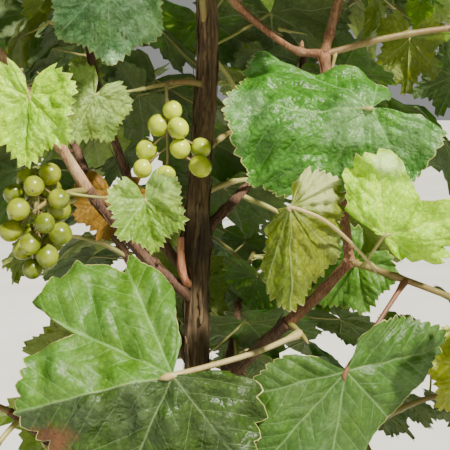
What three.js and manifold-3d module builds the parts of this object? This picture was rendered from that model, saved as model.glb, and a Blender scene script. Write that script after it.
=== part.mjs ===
// A grapevine in a plain clay pot, in millimetres, +Z up, with its origin under the middle of the pot.
// The trunk and the older canes are limbs. Each shoot with its leaves and fruit is one mass of foliage,
// grown by a seeded rule from the tip of the limb that carries it.
import * as THREE from "three";
import Module from "manifold-3d";
import { mergeVertices } from "three/addons/utils/BufferGeometryUtils.js";

const wasm = await Module();
wasm.setup();

const V = (x, y, z) => new THREE.Vector3(x, y, z);
const UP = V(0, 0, 1);
const GAP = 0.3;

// Pot and soil
const POT = {
  height: 300,
  foot: 118,
  shoulder: 160,
  shoulderHeight: 250,
  rim: 178,
  wall: 11,
  floor: 18,
  edge: 4,
  sides: 32,
};
const SOIL_TOP = 268;
const SOIL_FALL = 6;
const SOIL_FLAT = 45;

// Leaves: the outline's key points are the tip, notch, shoulder, low notch, low lobe and base of each half.
// They stand at these degrees from the midrib, and reach these shares of a shallow and a deep leaf's length.
const KEY_ANGLES = [0, 27, 50, 77, 104, 150];
const SHALLOW = [1, 0.84, 0.9, 0.74, 0.74, 0.52];
const DEEP = [1, 0.56, 0.9, 0.5, 0.74, 0.52];
const BLADE_CENTRE = 0.12;
const THICKNESS_SHARE = 0.014;
const LEAF_GUARD = 2;
const MOST_TURN = 0.8;
const STALK_RADIUS = 1.3;
const STALK_FOOT = 0.8;
const STALK_SIDES = 3;

// Shoots
const SHOOT_SIDES = 4;
const SHOOT_STEPS = 5;
const SHOOT_RADIUS = [2.5, 1.4];
const TWIG_SIDES = 3;
const TWIG_RADIUS = [2.2, 1.7];
const TWIG_STEPS = 3;
const INTERNODE = 38;
const TRIES = 36;
const LIMB_GUARD = 1.6;

// Fruit
const BERRY_RADIUS = 7.2;
const BERRY_STALK = 0.9;
const GOLDEN_ANGLE = 2.399963;

// The crown's bounds, and the open face at its front where canes and fruit show
const CROWN = { middle: 815, half: 460, radius: 345, floor: 318 };
const FACE = { x: 22, z: 650, half: 176, reach: 600, slope: 0.1405, depth: 28 };

// Limbs: the route of each, from what carries it to its tip, and its radius at both ends
const LIMBS = {
  trunk: {
    route: [
      [-9, 5, 268.3], [-6, 4, 330], [-2, 1, 430], [1, 0, 530], [1, 0, 600],
      [2, 3, 660], [7, 8, 730], [10, 12, 790], [6, 14, 840],
    ],
    radius: [10.5, 6.2],
    sides: 10,
    steps: 17,
  },
  arm_lower: {
    on: "trunk", route: [[2, -1, 520], [29, -18, 546], [48, -28, 567], [66, -36, 586]],
    radius: [5, 4.2],
  },
  arm_upper: {
    on: "arm_lower", route: [[66, -36, 586], [82, -40, 602], [98, -42, 620], [107, -44, 631]],
    radius: [3.9, 3.5],
  },
  cane_right: {
    on: "arm_upper", route: [[107, -44, 631], [105, -41, 650], [100, -30, 693], [91, -12, 772]],
    radius: [3.4, 3.2],
  },
  cane_right_high: {
    on: "cane_right", route: [[91, -12, 772], [98, -4, 796], [112, 8, 853], [111, 20, 900]],
    radius: [3.1, 2.6],
  },
  cane_across: {
    on: "cane_right", route: [[91, -12, 772], [66, -16, 777], [27, -24, 807], [-5, -30, 842]],
    radius: [2.6, 2],
  },
  cane_left: {
    on: "trunk", route: [[0, -1, 594], [-32, -14, 625], [-58, -28, 660], [-72, -36, 679]],
    radius: [4, 3.5],
  },
  cane_left_mid: {
    on: "cane_left", route: [[-72, -36, 679], [-90, -44, 712], [-106, -50, 741], [-119, -53, 762]],
    radius: [3.6, 3.1],
  },
  cane_left_high: {
    on: "cane_left_mid", route: [[-119, -53, 762], [-136, -55, 788], [-155, -58, 825], [-172, -58, 862]],
    radius: [3, 2.5],
  },
  cane_steep: {
    on: "trunk", route: [[0, 3, 604], [-34, 14, 648], [-49, 18, 678], [-73, 28, 748], [-83, 38, 800]],
    radius: [3.5, 2.6],
  },
  bough_back_left: {
    on: "trunk", route: [[-2, 0, 545], [-38, 42, 590], [-80, 90, 645], [-110, 122, 705]],
    radius: [4.4, 3],
  },
  bough_back_right: {
    on: "trunk", route: [[2, 3, 640], [40, 48, 676], [76, 92, 732], [92, 118, 790]],
    radius: [4.1, 2.9],
  },
  bough_back_low: {
    on: "trunk", route: [[-1, 1, 470], [12, 46, 492], [26, 96, 522], [36, 132, 566]],
    radius: [4.2, 3],
  },
  bough_low_left: {
    on: "trunk", route: [[-3, 2, 440], [-48, 4, 452], [-100, -4, 478], [-138, -12, 512]],
    radius: [4.2, 3],
  },
  bough_low_right: {
    on: "trunk", route: [[-2, 1, 420], [44, -6, 436], [96, -2, 458], [136, 12, 492]],
    radius: [4.2, 3],
  },
  top_back: {
    on: "trunk", route: [[6, 14, 840], [-4, 48, 862], [-14, 78, 900], [-16, 96, 945]],
    radius: [3.4, 2.6],
  },
  top_left: {
    on: "trunk", route: [[6, 14, 840], [-22, 20, 872], [-48, 22, 912], [-60, 20, 955]],
    radius: [3.6, 2.7],
  },
  top_right: {
    on: "trunk", route: [[6, 14, 840], [28, 34, 878], [46, 48, 920], [52, 52, 965]],
    radius: [3.6, 2.7],
  },
};
const LIMB_SIDES = 6;
const LIMB_STEPS = 5;
const FLARE = { radius: 11, fall: 24 };
const KNOB = { height: 640, radius: 2.6, half: 13 };

// Masses of foliage. A shoot leaves the tip of its limb, or a place on it, at a bearing (degrees from +X
// towards +Y) and a pitch, and bends down by its sag. Its leaves sit at nodes along it and on side twigs.
const MASSES = {
  foliage_low_front: {
    on: "arm_lower", bearing: -62, pitch: -8, length: 26, sag: -0.2, leaf: 62, nodes: 0, twigs: 0,
  },
  foliage_mid_right: {
    on: "arm_upper", bearing: -27, pitch: -12, length: 200, sag: -0.12, leaf: 76, nodes: 6, twigs: 3,
  },
  foliage_left_node: {
    on: "cane_left", bearing: 235, pitch: 6, length: 50, sag: -0.3, leaf: 60, nodes: 0, twigs: 0,
  },
  foliage_left_bend: {
    on: "cane_left_mid", bearing: 196, pitch: 2, length: 205, sag: -0.3, leaf: 78, nodes: 7, twigs: 3,
  },
  foliage_left_high: {
    on: "cane_left_high", bearing: 160, pitch: 50, length: 240, sag: -0.35, leaf: 78, nodes: 7, twigs: 3,
  },
  foliage_middle: {
    on: "trunk", at: [5, 3, 752],
    bearing: 205, pitch: 12, length: 46, sag: -0.3, leaf: 52, nodes: 0, twigs: 0,
  },
  foliage_right_high: {
    on: "cane_right", bearing: 8, pitch: 18, length: 215, sag: -0.25, leaf: 78, nodes: 7, twigs: 4,
  },
  foliage_across: {
    on: "cane_across", bearing: 190, pitch: 58, length: 240, sag: -0.3, leaf: 76, nodes: 7, twigs: 3,
  },
  foliage_right_top: {
    on: "cane_right_high", bearing: 20, pitch: 60, length: 250, sag: -0.3, leaf: 80, nodes: 7, twigs: 3,
  },
  foliage_steep: {
    on: "cane_steep", bearing: 150, pitch: 55, length: 240, sag: -0.35, leaf: 82, nodes: 7, twigs: 4,
  },
  foliage_back_left: {
    on: "bough_back_left", bearing: 140, pitch: 38, length: 240, sag: -0.35, leaf: 84, nodes: 7, twigs: 4,
  },
  foliage_back_right: {
    on: "bough_back_right", bearing: 45, pitch: 38, length: 240, sag: -0.35, leaf: 84, nodes: 7, twigs: 4,
  },
  foliage_back_low: {
    on: "bough_back_low", bearing: 80, pitch: 28, length: 190, sag: -0.4, leaf: 84, nodes: 7, twigs: 4,
  },
  foliage_low_left: {
    on: "bough_low_left", bearing: 190, pitch: 30, length: 160, sag: -0.4, leaf: 80, nodes: 6, twigs: 4,
  },
  foliage_low_right: {
    on: "bough_low_right", bearing: 8, pitch: 30, length: 160, sag: -0.4, leaf: 80, nodes: 6, twigs: 4,
  },
  foliage_top_back: {
    on: "top_back", bearing: 100, pitch: 45, length: 200, sag: -0.35, leaf: 80, nodes: 6, twigs: 4,
  },
  foliage_top_middle: {
    on: "trunk", at: [7, 8, 795],
    bearing: 265, pitch: 62, length: 150, sag: -0.2, leaf: 72, nodes: 5, twigs: 2,
  },
  foliage_top_left: {
    on: "top_left", bearing: 110, pitch: 72, length: 240, sag: -0.25, leaf: 80, nodes: 7, twigs: 3,
  },
  foliage_top_right: {
    on: "top_right", bearing: 30, pitch: 72, length: 255, sag: -0.25, leaf: 80, nodes: 7, twigs: 3,
  },
  foliage_low_face: {
    on: "trunk", at: [-3, 2, 400],
    bearing: -95, pitch: 22, length: 170, sag: -0.45, leaf: 80, nodes: 6, twigs: 3,
  },
};

// Leaves set by hand on the open face: the mass each belongs to, the foot of its stalk as a share of the
// shoot, the joint of stalk and blade, the ways its midrib runs and its upper side faces, its length, how its
// halves fold and open, how it droops, curls and is cut, and its key points' reach where they are its own
const SET_LEAVES = [
  {
    mass: "foliage_right_high", foot: 0.04, joint: [115, -72, 735], along: [-1, 0, 0.02],
    face: [0.05, -0.8, 0.6], length: 94, fold: [-36, -22], droop: 0.06, curl: 0, cut: 0.45,
    open: [1.12, 1],
    lobes: [[1, 0.88, 0.82, 0.7, 0.6, 0.56], [1, 0.93, 0.92, 0.42, 0.6, 0.34]],
  },
  {
    mass: "foliage_mid_right", foot: 0.05, joint: [121, -92, 656], along: [0.78, -0.1, 0.6],
    face: [0.1, -0.97, 0.15], length: 68, fold: [-4, -20], droop: 0.15, curl: 0.05, cut: 0.3,
    open: [0.65, 0.9],
    lobes: [[1, 0.8, 0.9, 0.7, 0.8, 0.55], [1, 0.84, 0.9, 0.7, 0.55, 0.16]],
  },
  {
    mass: "foliage_mid_right", foot: 0.1, joint: [61, -108, 676], along: [0.05, -0.05, -1],
    face: [0.3, -0.95, 0.1], length: 65, fold: [-24, -60], droop: 0.05, curl: 0, cut: 0.3,
    open: [1, 0.5],
    lobes: [[1, 0.8, 0.85, 0.7, 0.74, 0.36], [1, 0.92, 0.85, 0.5, 0.24, 0.1]],
  },
  {
    mass: "foliage_low_front", foot: 0.6, joint: [-10, -112, 573], along: [-0.97, -0.05, -0.2],
    face: [0.1, -0.85, 0.5], length: 103, fold: [-30, -6], droop: 0.08, curl: 0, cut: 0.8,
    open: [1.1, 0.74],
    lobes: [[1, 0.8, 0.9, 0.7, 0.74, 0.5], [1, 0.62, 1.02, 0.95, 0.86, 0.3]],
  },
  {
    mass: "foliage_mid_right", foot: 0.2, joint: [98, -98, 571], along: [-0.12, -0.06, -0.98],
    face: [0.2, -0.97, 0.1], length: 86, fold: [-8, -10], droop: 0.08, curl: 0.05, cut: 0.2,
    open: [1, 0.66],
    lobes: [[1, 0.66, 0.58, 0.7, 0.86, 0.44], [1, 0.92, 0.94, 0.78, 0.74, 0.44]],
  },
  {
    mass: "foliage_left_bend", foot: 0.05, joint: [-100, -78, 742], along: [-0.1, -0.12, -1],
    face: [-0.1, -0.85, 0.5], length: 45, fold: [10, 10], droop: 0.1, curl: 0.1, cut: 0.35,
  },
  {
    mass: "foliage_middle", foot: 0.95, joint: [-66, -32, 744], along: [-0.45, -0.2, -0.85],
    face: [0.35, -0.8, 0.5], length: 38, fold: [-20, -20], droop: 0.1, curl: 0.1, cut: 0.3,
  },
  {
    mass: "foliage_across", foot: 0.05, joint: [-58, -24, 817], along: [0.08, -0.2, -1],
    face: [0.1, -0.8, 0.55], length: 54, fold: [-10, -10], droop: 0.1, curl: 0.1, cut: 0.15,
  },
  {
    mass: "foliage_left_node", foot: 0.4, joint: [-31, -58, 675], along: [0.2, -0.1, -1],
    face: [0.1, -0.9, 0.3], length: 37, fold: [26, 26], droop: 0.08, curl: 0, cut: 0.3,
  },
  {
    mass: "foliage_mid_right", foot: 0.5, joint: [194, -58, 564], along: [-0.6, -0.05, -0.8],
    face: [0.2, -0.9, 0.4], length: 44, fold: [-12, -12], droop: 0.1, curl: 0.1, cut: 0.5,
  },
  {
    mass: "foliage_mid_right", foot: 0.06, joint: [118, -8, 625], along: [-0.6, 0.05, -0.75],
    face: [-0.1, -0.9, 0.4], length: 44, fold: [6, 6], droop: 0.08, curl: 0.05, cut: 0.3,
  },
];

// A bunch either fills out from its top by its length and width, or has its berries at set spots across and
// below the top.
const BUNCHES = [
  { mass: "foliage_left_node", foot: 0.95, top: [-101, -60, 693], length: 62, width: 25, berries: 21 },
  {
    mass: "foliage_middle",
    foot: 0.5,
    top: [-18, -26, 748],
    length: 60,
    width: 9,
    spots: [[4, -15], [-6, -25], [8, -27], [-15, -43], [-17, -54], [9, -40], [23, -41], [23, -53], [-1, -59]],
  },
];

// A repeatable source of numbers from 0 to 1.
function seeded(seed) {
  let state = seed >>> 0;
  return () => {
    state = (state + 0x6d2b79f5) >>> 0;
    let t = Math.imul(state ^ (state >>> 15), 1 | state);
    t = (t + Math.imul(t ^ (t >>> 7), 61 | t)) ^ t;
    return ((t ^ (t >>> 14)) >>> 0) / 4294967296;
  };
}

const radians = (degrees) => (degrees * Math.PI) / 180;
const mix = (a, b, t) => a + (b - a) * t;
const spread = (next, size) => (next() * 2 - 1) * size;

// A closed mesh of points and triangles as a solid with its faces out.
function solidOf(points, triangles) {
  const build = (faces) =>
    new wasm.Manifold(
      new wasm.Mesh({
        numProp: 3,
        vertProperties: new Float32Array(points.flatMap((p) => [p.x, p.y, p.z])),
        triVerts: new Uint32Array(faces.flat()),
      }),
    );
  const made = build(triangles);
  return made.volume() < 0 ? build(triangles.map(([a, b, c]) => [a, c, b])) : made;
}

// A smooth line through the points of a route, as steps + 1 points.
function along(route, steps) {
  const at = (i) => V(...route[Math.min(Math.max(i, 0), route.length - 1)]);
  const line = [];
  for (let k = 0; k <= steps; k++) {
    const u = (k / steps) * (route.length - 1);
    const i = Math.min(Math.floor(u), route.length - 2);
    const t = u - i;
    const before = i > 0 ? at(i - 1) : at(0).multiplyScalar(2).sub(at(1));
    const after = i < route.length - 2 ? at(i + 2) : at(i + 1).multiplyScalar(2).sub(at(i));
    line.push(
      V(0, 0, 0)
        .addScaledVector(before, 0.5 * (-t + 2 * t * t - t * t * t))
        .addScaledVector(at(i), 0.5 * (2 - 5 * t * t + 3 * t * t * t))
        .addScaledVector(at(i + 1), 0.5 * (t + 4 * t * t - 3 * t * t * t))
        .addScaledVector(after, 0.5 * (-t * t + t * t * t)),
    );
  }
  return line;
}

// A closed tube along a line, with a radius at each point.
function tube(line, radii, sides) {
  const points = [];
  const triangles = [];
  let side = V(1, 0, 0);
  line.forEach((p, k) => {
    const ahead = line[Math.min(k + 1, line.length - 1)];
    const behind = line[Math.max(k - 1, 0)];
    const forward = ahead.clone().sub(behind).normalize();
    if (k === 0 && Math.abs(forward.x) > 0.9) side = V(0, 1, 0);
    side = side.clone().addScaledVector(forward, -side.dot(forward)).normalize();
    const other = forward.clone().cross(side);
    for (let j = 0; j < sides; j++) {
      const a = (2 * Math.PI * j) / sides;
      points.push(
        p.clone()
          .addScaledVector(side, radii[k] * Math.cos(a))
          .addScaledVector(other, radii[k] * Math.sin(a)),
      );
    }
  });
  for (let k = 0; k < line.length - 1; k++)
    for (let j = 0; j < sides; j++) {
      const [a, b] = [k * sides + j, k * sides + ((j + 1) % sides)];
      triangles.push([a, b, b + sides], [a, b + sides, a + sides]);
    }
  const last = (line.length - 1) * sides;
  for (let j = 1; j < sides - 1; j++) {
    triangles.push([0, j + 1, j]);
    triangles.push([last, last + j, last + j + 1]);
  }
  return solidOf(points, triangles);
}

// A turned solid from [radius, height] points that start and end on the axis.
function turned(profile, sides) {
  const geometry = new THREE.LatheGeometry(profile.map(([r, z]) => new THREE.Vector2(r, z)), sides);
  geometry.rotateX(Math.PI / 2);
  geometry.deleteAttribute("normal");
  geometry.deleteAttribute("uv");
  const merged = mergeVertices(geometry, 1e-3);
  const place = merged.attributes.position;
  const at = (i) => V(place.getX(i), place.getY(i), place.getZ(i));
  const points = Array.from({ length: place.count }, (_, i) => at(i));
  const index = Array.from(merged.index.array);
  const triangles = [];
  for (let i = 0; i < index.length; i += 3) {
    const [a, b, c] = index.slice(i, i + 3);
    if (a !== b && b !== c && c !== a) triangles.push([a, b, c]);
  }
  return solidOf(points, triangles);
}

// The radius of a limb at each point of its line: an even taper, with the trunk's root flare and its knob.
function limbRadii(name, line, extra) {
  const [first, last] = LIMBS[name].radius;
  return line.map((p, k) => {
    let r = mix(first, last, k / (line.length - 1)) + extra;
    if (name === "trunk") {
      r += FLARE.radius * Math.exp(-(p.z - SOIL_TOP - GAP) / FLARE.fall);
      r += KNOB.radius * Math.exp(-(((p.z - KNOB.height) / KNOB.half) ** 2));
    }
    return r;
  });
}

function limbTube(name, extra) {
  const limb = LIMBS[name];
  const line = along(limb.route, limb.steps ?? LIMB_STEPS);
  if (name === "trunk") line[0] = V(...limb.route[0]);
  return tube(line, limbRadii(name, line, extra), limb.sides ?? LIMB_SIDES);
}

// The largest body of a solid, so that no loose scrap is left.
function largest(solid) {
  return solid.decompose().sort((a, b) => b.volume() - a.volume())[0];
}

// The trunk's foot is cut flat where it meets the soil.
function flatFoot(solid) {
  return solid.trimByPlane([0, 0, 1], SOIL_TOP + GAP);
}

// A point of a leaf's blade, in millimetres: across, along the midrib, and up from the blade.
function bladePoint(leaf, angle, reach) {
  const across = reach * Math.sin(angle);
  const ahead = reach * Math.cos(angle);
  const side = Math.abs(across);
  const fold = radians(leaf.fold[across < 0 ? 0 : 1]);
  const fall = ahead > 0 ? ahead * ahead : 0.4 * ahead * ahead;
  const wave = 0.05 * reach * reach * Math.sin(3 * angle + leaf.phase);
  const up = side * Math.sin(fold) - leaf.droop * fall - leaf.curl * side * side + wave;
  return V(across * Math.cos(fold) * leaf.length, ahead * leaf.length, up * leaf.length);
}

// The leaf's own directions: across, along the midrib, and out of its upper side.
function leafAxes(leaf) {
  const ahead = leaf.along.clone().normalize();
  const face = leaf.face.clone().addScaledVector(ahead, -leaf.face.dot(ahead)).normalize();
  return [ahead.clone().cross(face), ahead, face];
}

// The outline from one base lobe round the tip to the other, and the notch where the stalk joins.
function outline(leaf) {
  const half = (side) =>
    KEY_ANGLES.map((angle, i) => {
      const reach = leaf.lobes ? leaf.lobes[side][i] : mix(SHALLOW[i], DEEP[i], leaf.cut);
      return bladePoint(leaf, radians(side ? angle : -angle) * leaf.open[side], reach);
    });
  return [...half(0).slice(1).reverse(), ...half(1)];
}

// A point given in the leaf's own directions, as a place in the plant.
function placed(leaf, p, lift = 0) {
  const [x, y, z] = leafAxes(leaf);
  return leaf.joint.clone().addScaledVector(x, p.x).addScaledVector(y, p.y).addScaledVector(z, p.z + lift);
}

// The way between the stalk's and the midrib's, square to the ring where they join.
function jointNormal(leaf) {
  return leaf.joint.clone().sub(leaf.foot).normalize().add(leafAxes(leaf)[1]).normalize();
}

// A leaf as one closed skin: two fans from the blade's middle, thickest there, and a three-sided stalk that
// opens out of the notch.
function leafSolid(leaf) {
  const ring = outline(leaf).map((p) => placed(leaf, p));
  const middle = bladePoint(leaf, 0, BLADE_CENTRE);
  const half = (leaf.length * THICKNESS_SHARE) / 2;
  const n = ring.length;
  const points = [placed(leaf, middle, half), placed(leaf, middle, -half), ...ring];
  const triangles = [];
  for (let i = 0; i < n - 1; i++) triangles.push([0, 3 + i, 2 + i], [1, 2 + i, 3 + i]);
  const rings = [
    [leaf.joint, jointNormal(leaf), STALK_RADIUS],
    [leaf.foot, leaf.joint.clone().sub(leaf.foot).normalize(), STALK_FOOT],
  ];
  let up = leafAxes(leaf)[2];
  for (const [at, way, radius] of rings) {
    up = up.clone().addScaledVector(way, -up.dot(way)).normalize();
    const side = way.clone().cross(up);
    for (const [u, v] of [[1, 0], [-0.5, 0.87], [-0.5, -0.87]])
      points.push(at.clone().addScaledVector(up, u * radius).addScaledVector(side, v * radius));
  }
  const [first, last, top, east, west] = [2, 1 + n, 2 + n, 3 + n, 4 + n];
  triangles.push([0, first, top], [0, top, last], [1, west, first], [1, east, west], [1, last, east]);
  triangles.push([first, west, top], [last, top, east]);
  for (const [a, b] of [[top, east], [east, west], [west, top]])
    triangles.push([a, a + 3, b + 3], [a, b + 3, b]);
  triangles.push([top + 3, west + 3, east + 3]);
  return solidOf(points, triangles);
}

// The room a leaf's blade takes up, a little over its thickness to each side.
function bladeRoom(leaf, room = LEAF_GUARD) {
  const ring = [...outline(leaf), V(0, 0, 0)];
  const middle = bladePoint(leaf, 0, BLADE_CENTRE);
  const n = ring.length;
  const points = [placed(leaf, middle, room), placed(leaf, middle, -room)];
  points.push(...ring.map((p) => placed(leaf, p, room)), ...ring.map((p) => placed(leaf, p, -room)));
  const triangles = [];
  for (let i = 0; i < n; i++) {
    const j = (i + 1) % n;
    triangles.push([0, 2 + j, 2 + i], [1, 2 + n + i, 2 + n + j]);
    triangles.push([2 + i, 2 + j, 2 + n + j], [2 + i, 2 + n + j, 2 + n + i]);
  }
  return solidOf(points, triangles);
}

function stalkRoom(leaf) {
  const room = STALK_RADIUS + 1;
  return tube([leaf.foot, leaf.joint], [room, room], STALK_SIDES);
}

// Everything that a new piece must keep clear of, each with the shoot or limb it belongs to.
const taken = [];

function take(solid, owner) {
  taken.push({ solid, owner, box: solid.boundingBox() });
}

function apart(a, b) {
  return [0, 1, 2].some((i) => a.min[i] > b.max[i] || b.min[i] > a.max[i]);
}

function touched(solid, owner = null) {
  const box = solid.boundingBox();
  return taken.find(
    (other) => other.owner !== owner && !apart(box, other.box) && !other.solid.intersect(solid).isEmpty(),
  );
}

const isClear = (solid, owner) => !touched(solid, owner);

function insideCrown(p) {
  const level = (p.z - CROWN.middle) / CROWN.half;
  if (p.z < CROWN.floor || Math.abs(level) > 1) return false;
  return Math.hypot(p.x, p.y) < CROWN.radius * Math.sqrt(1 - 0.75 * level * level);
}

function inOpenFace(p) {
  const half = (FACE.half * (FACE.reach + p.y)) / FACE.reach;
  const rise = p.z - FACE.z + FACE.slope * p.y;
  return p.y < FACE.depth && Math.abs(p.x - FACE.x) < half && Math.abs(rise) < half;
}

function leafFits(leaf, owner) {
  if (Math.abs(jointNormal(leaf).dot(leafAxes(leaf)[2])) > MOST_TURN) return false;
  const ring = outline(leaf).map((p) => placed(leaf, p));
  if (!ring.every(insideCrown) || ring.some(inOpenFace)) return false;
  return isClear(bladeRoom(leaf)) && isClear(stalkRoom(leaf), owner);
}

// One try at a leaf on a shoot: it reaches out and to one side, and its blade faces out and up to the light.
function growLeaf(next, root, forward, side, length) {
  const outward = V(root.x, root.y, 0).normalize();
  const reach = side.clone().multiplyScalar(0.9)
    .addScaledVector(outward, mix(0.2, 0.9, next()))
    .addScaledVector(UP, spread(next, 0.5) + 0.25)
    .addScaledVector(forward, spread(next, 0.5) + 0.15)
    .normalize();
  const size = length * mix(0.84, 1.16, next());
  const joint = root.clone().addScaledVector(reach, size * mix(0.55, 1, next()));
  const face = outward.clone().multiplyScalar(mix(0.4, 1, next()))
    .addScaledVector(UP, mix(0.3, 1, next()))
    .add(V(spread(next, 0.45), spread(next, 0.45), spread(next, 0.3)));
  const ahead = reach.clone().multiplyScalar(0.55)
    .addScaledVector(outward, 0.35)
    .addScaledVector(UP, -mix(0.35, 0.9, next()))
    .add(V(spread(next, 0.3), spread(next, 0.3), 0));
  return {
    foot: root,
    joint,
    along: ahead,
    face,
    length: size,
    fold: [mix(-16, 14, next()), mix(-16, 14, next())],
    droop: mix(0.04, 0.24, next()),
    curl: mix(-0.05, 0.22, next()),
    cut: mix(0.15, 0.85, next()),
    open: [mix(0.86, 1.04, next()), mix(0.86, 1.04, next())],
    phase: next() * 2 * Math.PI,
  };
}

// The line of a shoot: straight out at its bearing and pitch, then bending by its sag.
function shootLine(start, bearing, pitch, length, sag, steps) {
  const [b, p] = [radians(bearing), radians(pitch)];
  const way = V(Math.cos(b) * Math.cos(p), Math.sin(b) * Math.cos(p), Math.sin(p));
  return Array.from({ length: steps + 1 }, (_, k) => {
    const t = k / steps;
    return start.clone().addScaledVector(way, length * t).addScaledVector(UP, sag * length * t * t);
  });
}

function taper([first, last], count) {
  return Array.from({ length: count }, (_, k) => mix(first, last, k / (count - 1)));
}

// The point at a share of a line's length, and the way the line runs there.
function pointOn(line, share) {
  const u = share * (line.length - 1);
  const k = Math.min(Math.floor(u), line.length - 2);
  return [line[k].clone().lerp(line[k + 1], u - k), line[k + 1].clone().sub(line[k]).normalize()];
}

// The line from its foot to a share of its length.
function partOf(line, share) {
  const whole = Math.floor(share * (line.length - 1) - 0.05);
  return [...line.slice(0, whole + 1), pointOn(line, share)[0]];
}

// Puts leaves at even nodes along a line, to either side in turn, and returns the share of the last one.
function leafUp(name, seed, line, count, length, first, leaves) {
  let reach = 0;
  for (let i = 0; i < count; i++) {
    const share = mix(first, 1, i / Math.max(count - 1, 1));
    const [root, forward] = pointOn(line, share);
    const side = forward.clone().cross(UP).normalize().multiplyScalar(i % 2 ? -1 : 1);
    const next = seeded(seed * 1009 + i * 31 + 7);
    for (let attempt = 0; attempt < TRIES; attempt++) {
      const size = length * mix(1, 0.66, share * share) * mix(1, 0.72, attempt / TRIES);
      const leaf = growLeaf(next, root, forward, side, size);
      if (!leafFits(leaf, name)) continue;
      take(bladeRoom(leaf), name + " blade");
      take(stalkRoom(leaf), name);
      leaves.push(leaf);
      reach = share;
      break;
    }
  }
  return reach;
}

// The berries of a bunch round its stem, pushed apart until they only touch.
function berries(bunch, seed) {
  const next = seeded(seed);
  const count = bunch.spots?.length ?? bunch.berries;
  const found = [];
  for (let i = 0; i < count; i++) {
    const turn = i * GOLDEN_ANGLE;
    let share = (i + 0.5) / count;
    const out = bunch.width * Math.sin(Math.PI * mix(0.16, 0.97, share)) * mix(0.55, 0.85, next());
    const offset = V(out * Math.cos(turn), out * Math.sin(turn), -bunch.length * share);
    if (bunch.spots) {
      [offset.x, offset.z] = bunch.spots[i];
      share = -offset.z / bunch.length;
    }
    const radius = BERRY_RADIUS * mix(0.9, 1.08, next());
    found.push({ centre: bunch.top.clone().add(offset), share, radius });
  }
  for (let round = 0; round < 24; round++)
    for (let i = 0; i < found.length; i++)
      for (let j = i + 1; j < found.length; j++) {
        const between = found[j].centre.clone().sub(found[i].centre);
        const short = found[i].radius + found[j].radius + 0.3 - between.length();
        if (short <= 0) continue;
        between.normalize().multiplyScalar(short / 2);
        found[i].centre.sub(between);
        found[j].centre.add(between);
      }
  return found;
}

// A bunch: its stem, and each berry on a short stalk from the stem.
function bunchSolids(bunch, seed) {
  const foot = bunch.top.clone().add(V(0, 0, -bunch.length * 0.86));
  const stem = [bunch.foot, bunch.foot.clone().lerp(bunch.top, 0.6).add(V(0, 0, 3)), bunch.top, foot];
  const pieces = [tube(stem, [1.5, 1.5, 1.4, 0.9], 4)];
  for (const berry of berries(bunch, seed)) {
    const on = bunch.top.clone().lerp(foot, Math.max(berry.share - 0.12, 0.02));
    pieces.push(tube([on, berry.centre], [BERRY_STALK, BERRY_STALK], 3));
    const ball = new THREE.IcosahedronGeometry(berry.radius * 1.06, 0);
    ball.deleteAttribute("normal");
    ball.deleteAttribute("uv");
    const merged = mergeVertices(ball, 1e-3);
    const place = merged.attributes.position;
    const points = Array.from({ length: place.count }, (_, i) =>
      V(place.getX(i), place.getY(i), place.getZ(i)).add(berry.centre),
    );
    const index = Array.from(merged.index.array);
    const triangles = Array.from({ length: index.length / 3 }, (_, i) => index.slice(3 * i, 3 * i + 3));
    pieces.push(solidOf(points, triangles));
  }
  return pieces;
}

const MATERIALS = {
  clay: new THREE.MeshStandardMaterial({ color: 0xa65f3f, roughness: 0.9, metalness: 0 }),
  soil: new THREE.MeshStandardMaterial({ color: 0x2e2018, roughness: 1, metalness: 0 }),
  bark: new THREE.MeshStandardMaterial({ color: 0x54422f, roughness: 0.95, metalness: 0 }),
  cane: new THREE.MeshStandardMaterial({ color: 0x8a5a3c, roughness: 0.8, metalness: 0 }),
  foliage: new THREE.MeshStandardMaterial({ color: 0x6f9a3c, roughness: 0.7, metalness: 0 }),
};

const vine = new THREE.Group();

function addMesh(name, solid, material) {
  const { numProp, numVert, vertProperties, triVerts } = solid.getMesh();
  const place = new Float32Array(numVert * 3);
  for (let i = 0; i < numVert; i++) place.set(vertProperties.subarray(i * numProp, i * numProp + 3), i * 3);
  const geometry = new THREE.BufferGeometry();
  geometry.setAttribute("position", new THREE.BufferAttribute(place, 3));
  geometry.setIndex(new THREE.BufferAttribute(new Uint32Array(triVerts), 1));
  const mesh = new THREE.Mesh(geometry, material);
  mesh.name = name;
  vine.add(mesh);
}

function addPot() {
  const inner = (z) => mix(POT.foot, POT.shoulder, z / POT.shoulderHeight) - POT.wall;
  const lip = POT.rim - POT.wall * 1.3;
  addMesh(
    "pot",
    turned(
      [
        [0, 0], [POT.foot - POT.edge, 0], [POT.foot, POT.edge],
        [POT.shoulder, POT.shoulderHeight], [POT.rim - POT.edge, POT.shoulderHeight + POT.edge],
        [POT.rim, POT.shoulderHeight + 3 * POT.edge], [POT.rim, POT.height - POT.edge],
        [POT.rim - POT.edge, POT.height], [lip, POT.height],
        [inner(POT.shoulderHeight), POT.shoulderHeight], [inner(POT.floor), POT.floor], [0, POT.floor],
      ],
      POT.sides,
    ),
    MATERIALS.clay,
  );
  const upTheRim = (SOIL_TOP - SOIL_FALL - POT.shoulderHeight) / (POT.height - POT.shoulderHeight);
  const edge = mix(inner(POT.shoulderHeight), lip, upTheRim);
  addMesh(
    "soil",
    turned(
      [
        [0, POT.floor + GAP], [inner(POT.floor) - GAP, POT.floor + GAP],
        [inner(POT.shoulderHeight) - GAP, POT.shoulderHeight], [edge - GAP, SOIL_TOP - SOIL_FALL],
        [SOIL_FLAT, SOIL_TOP], [0, SOIL_TOP],
      ],
      POT.sides,
    ),
    MATERIALS.soil,
  );
}

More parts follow.
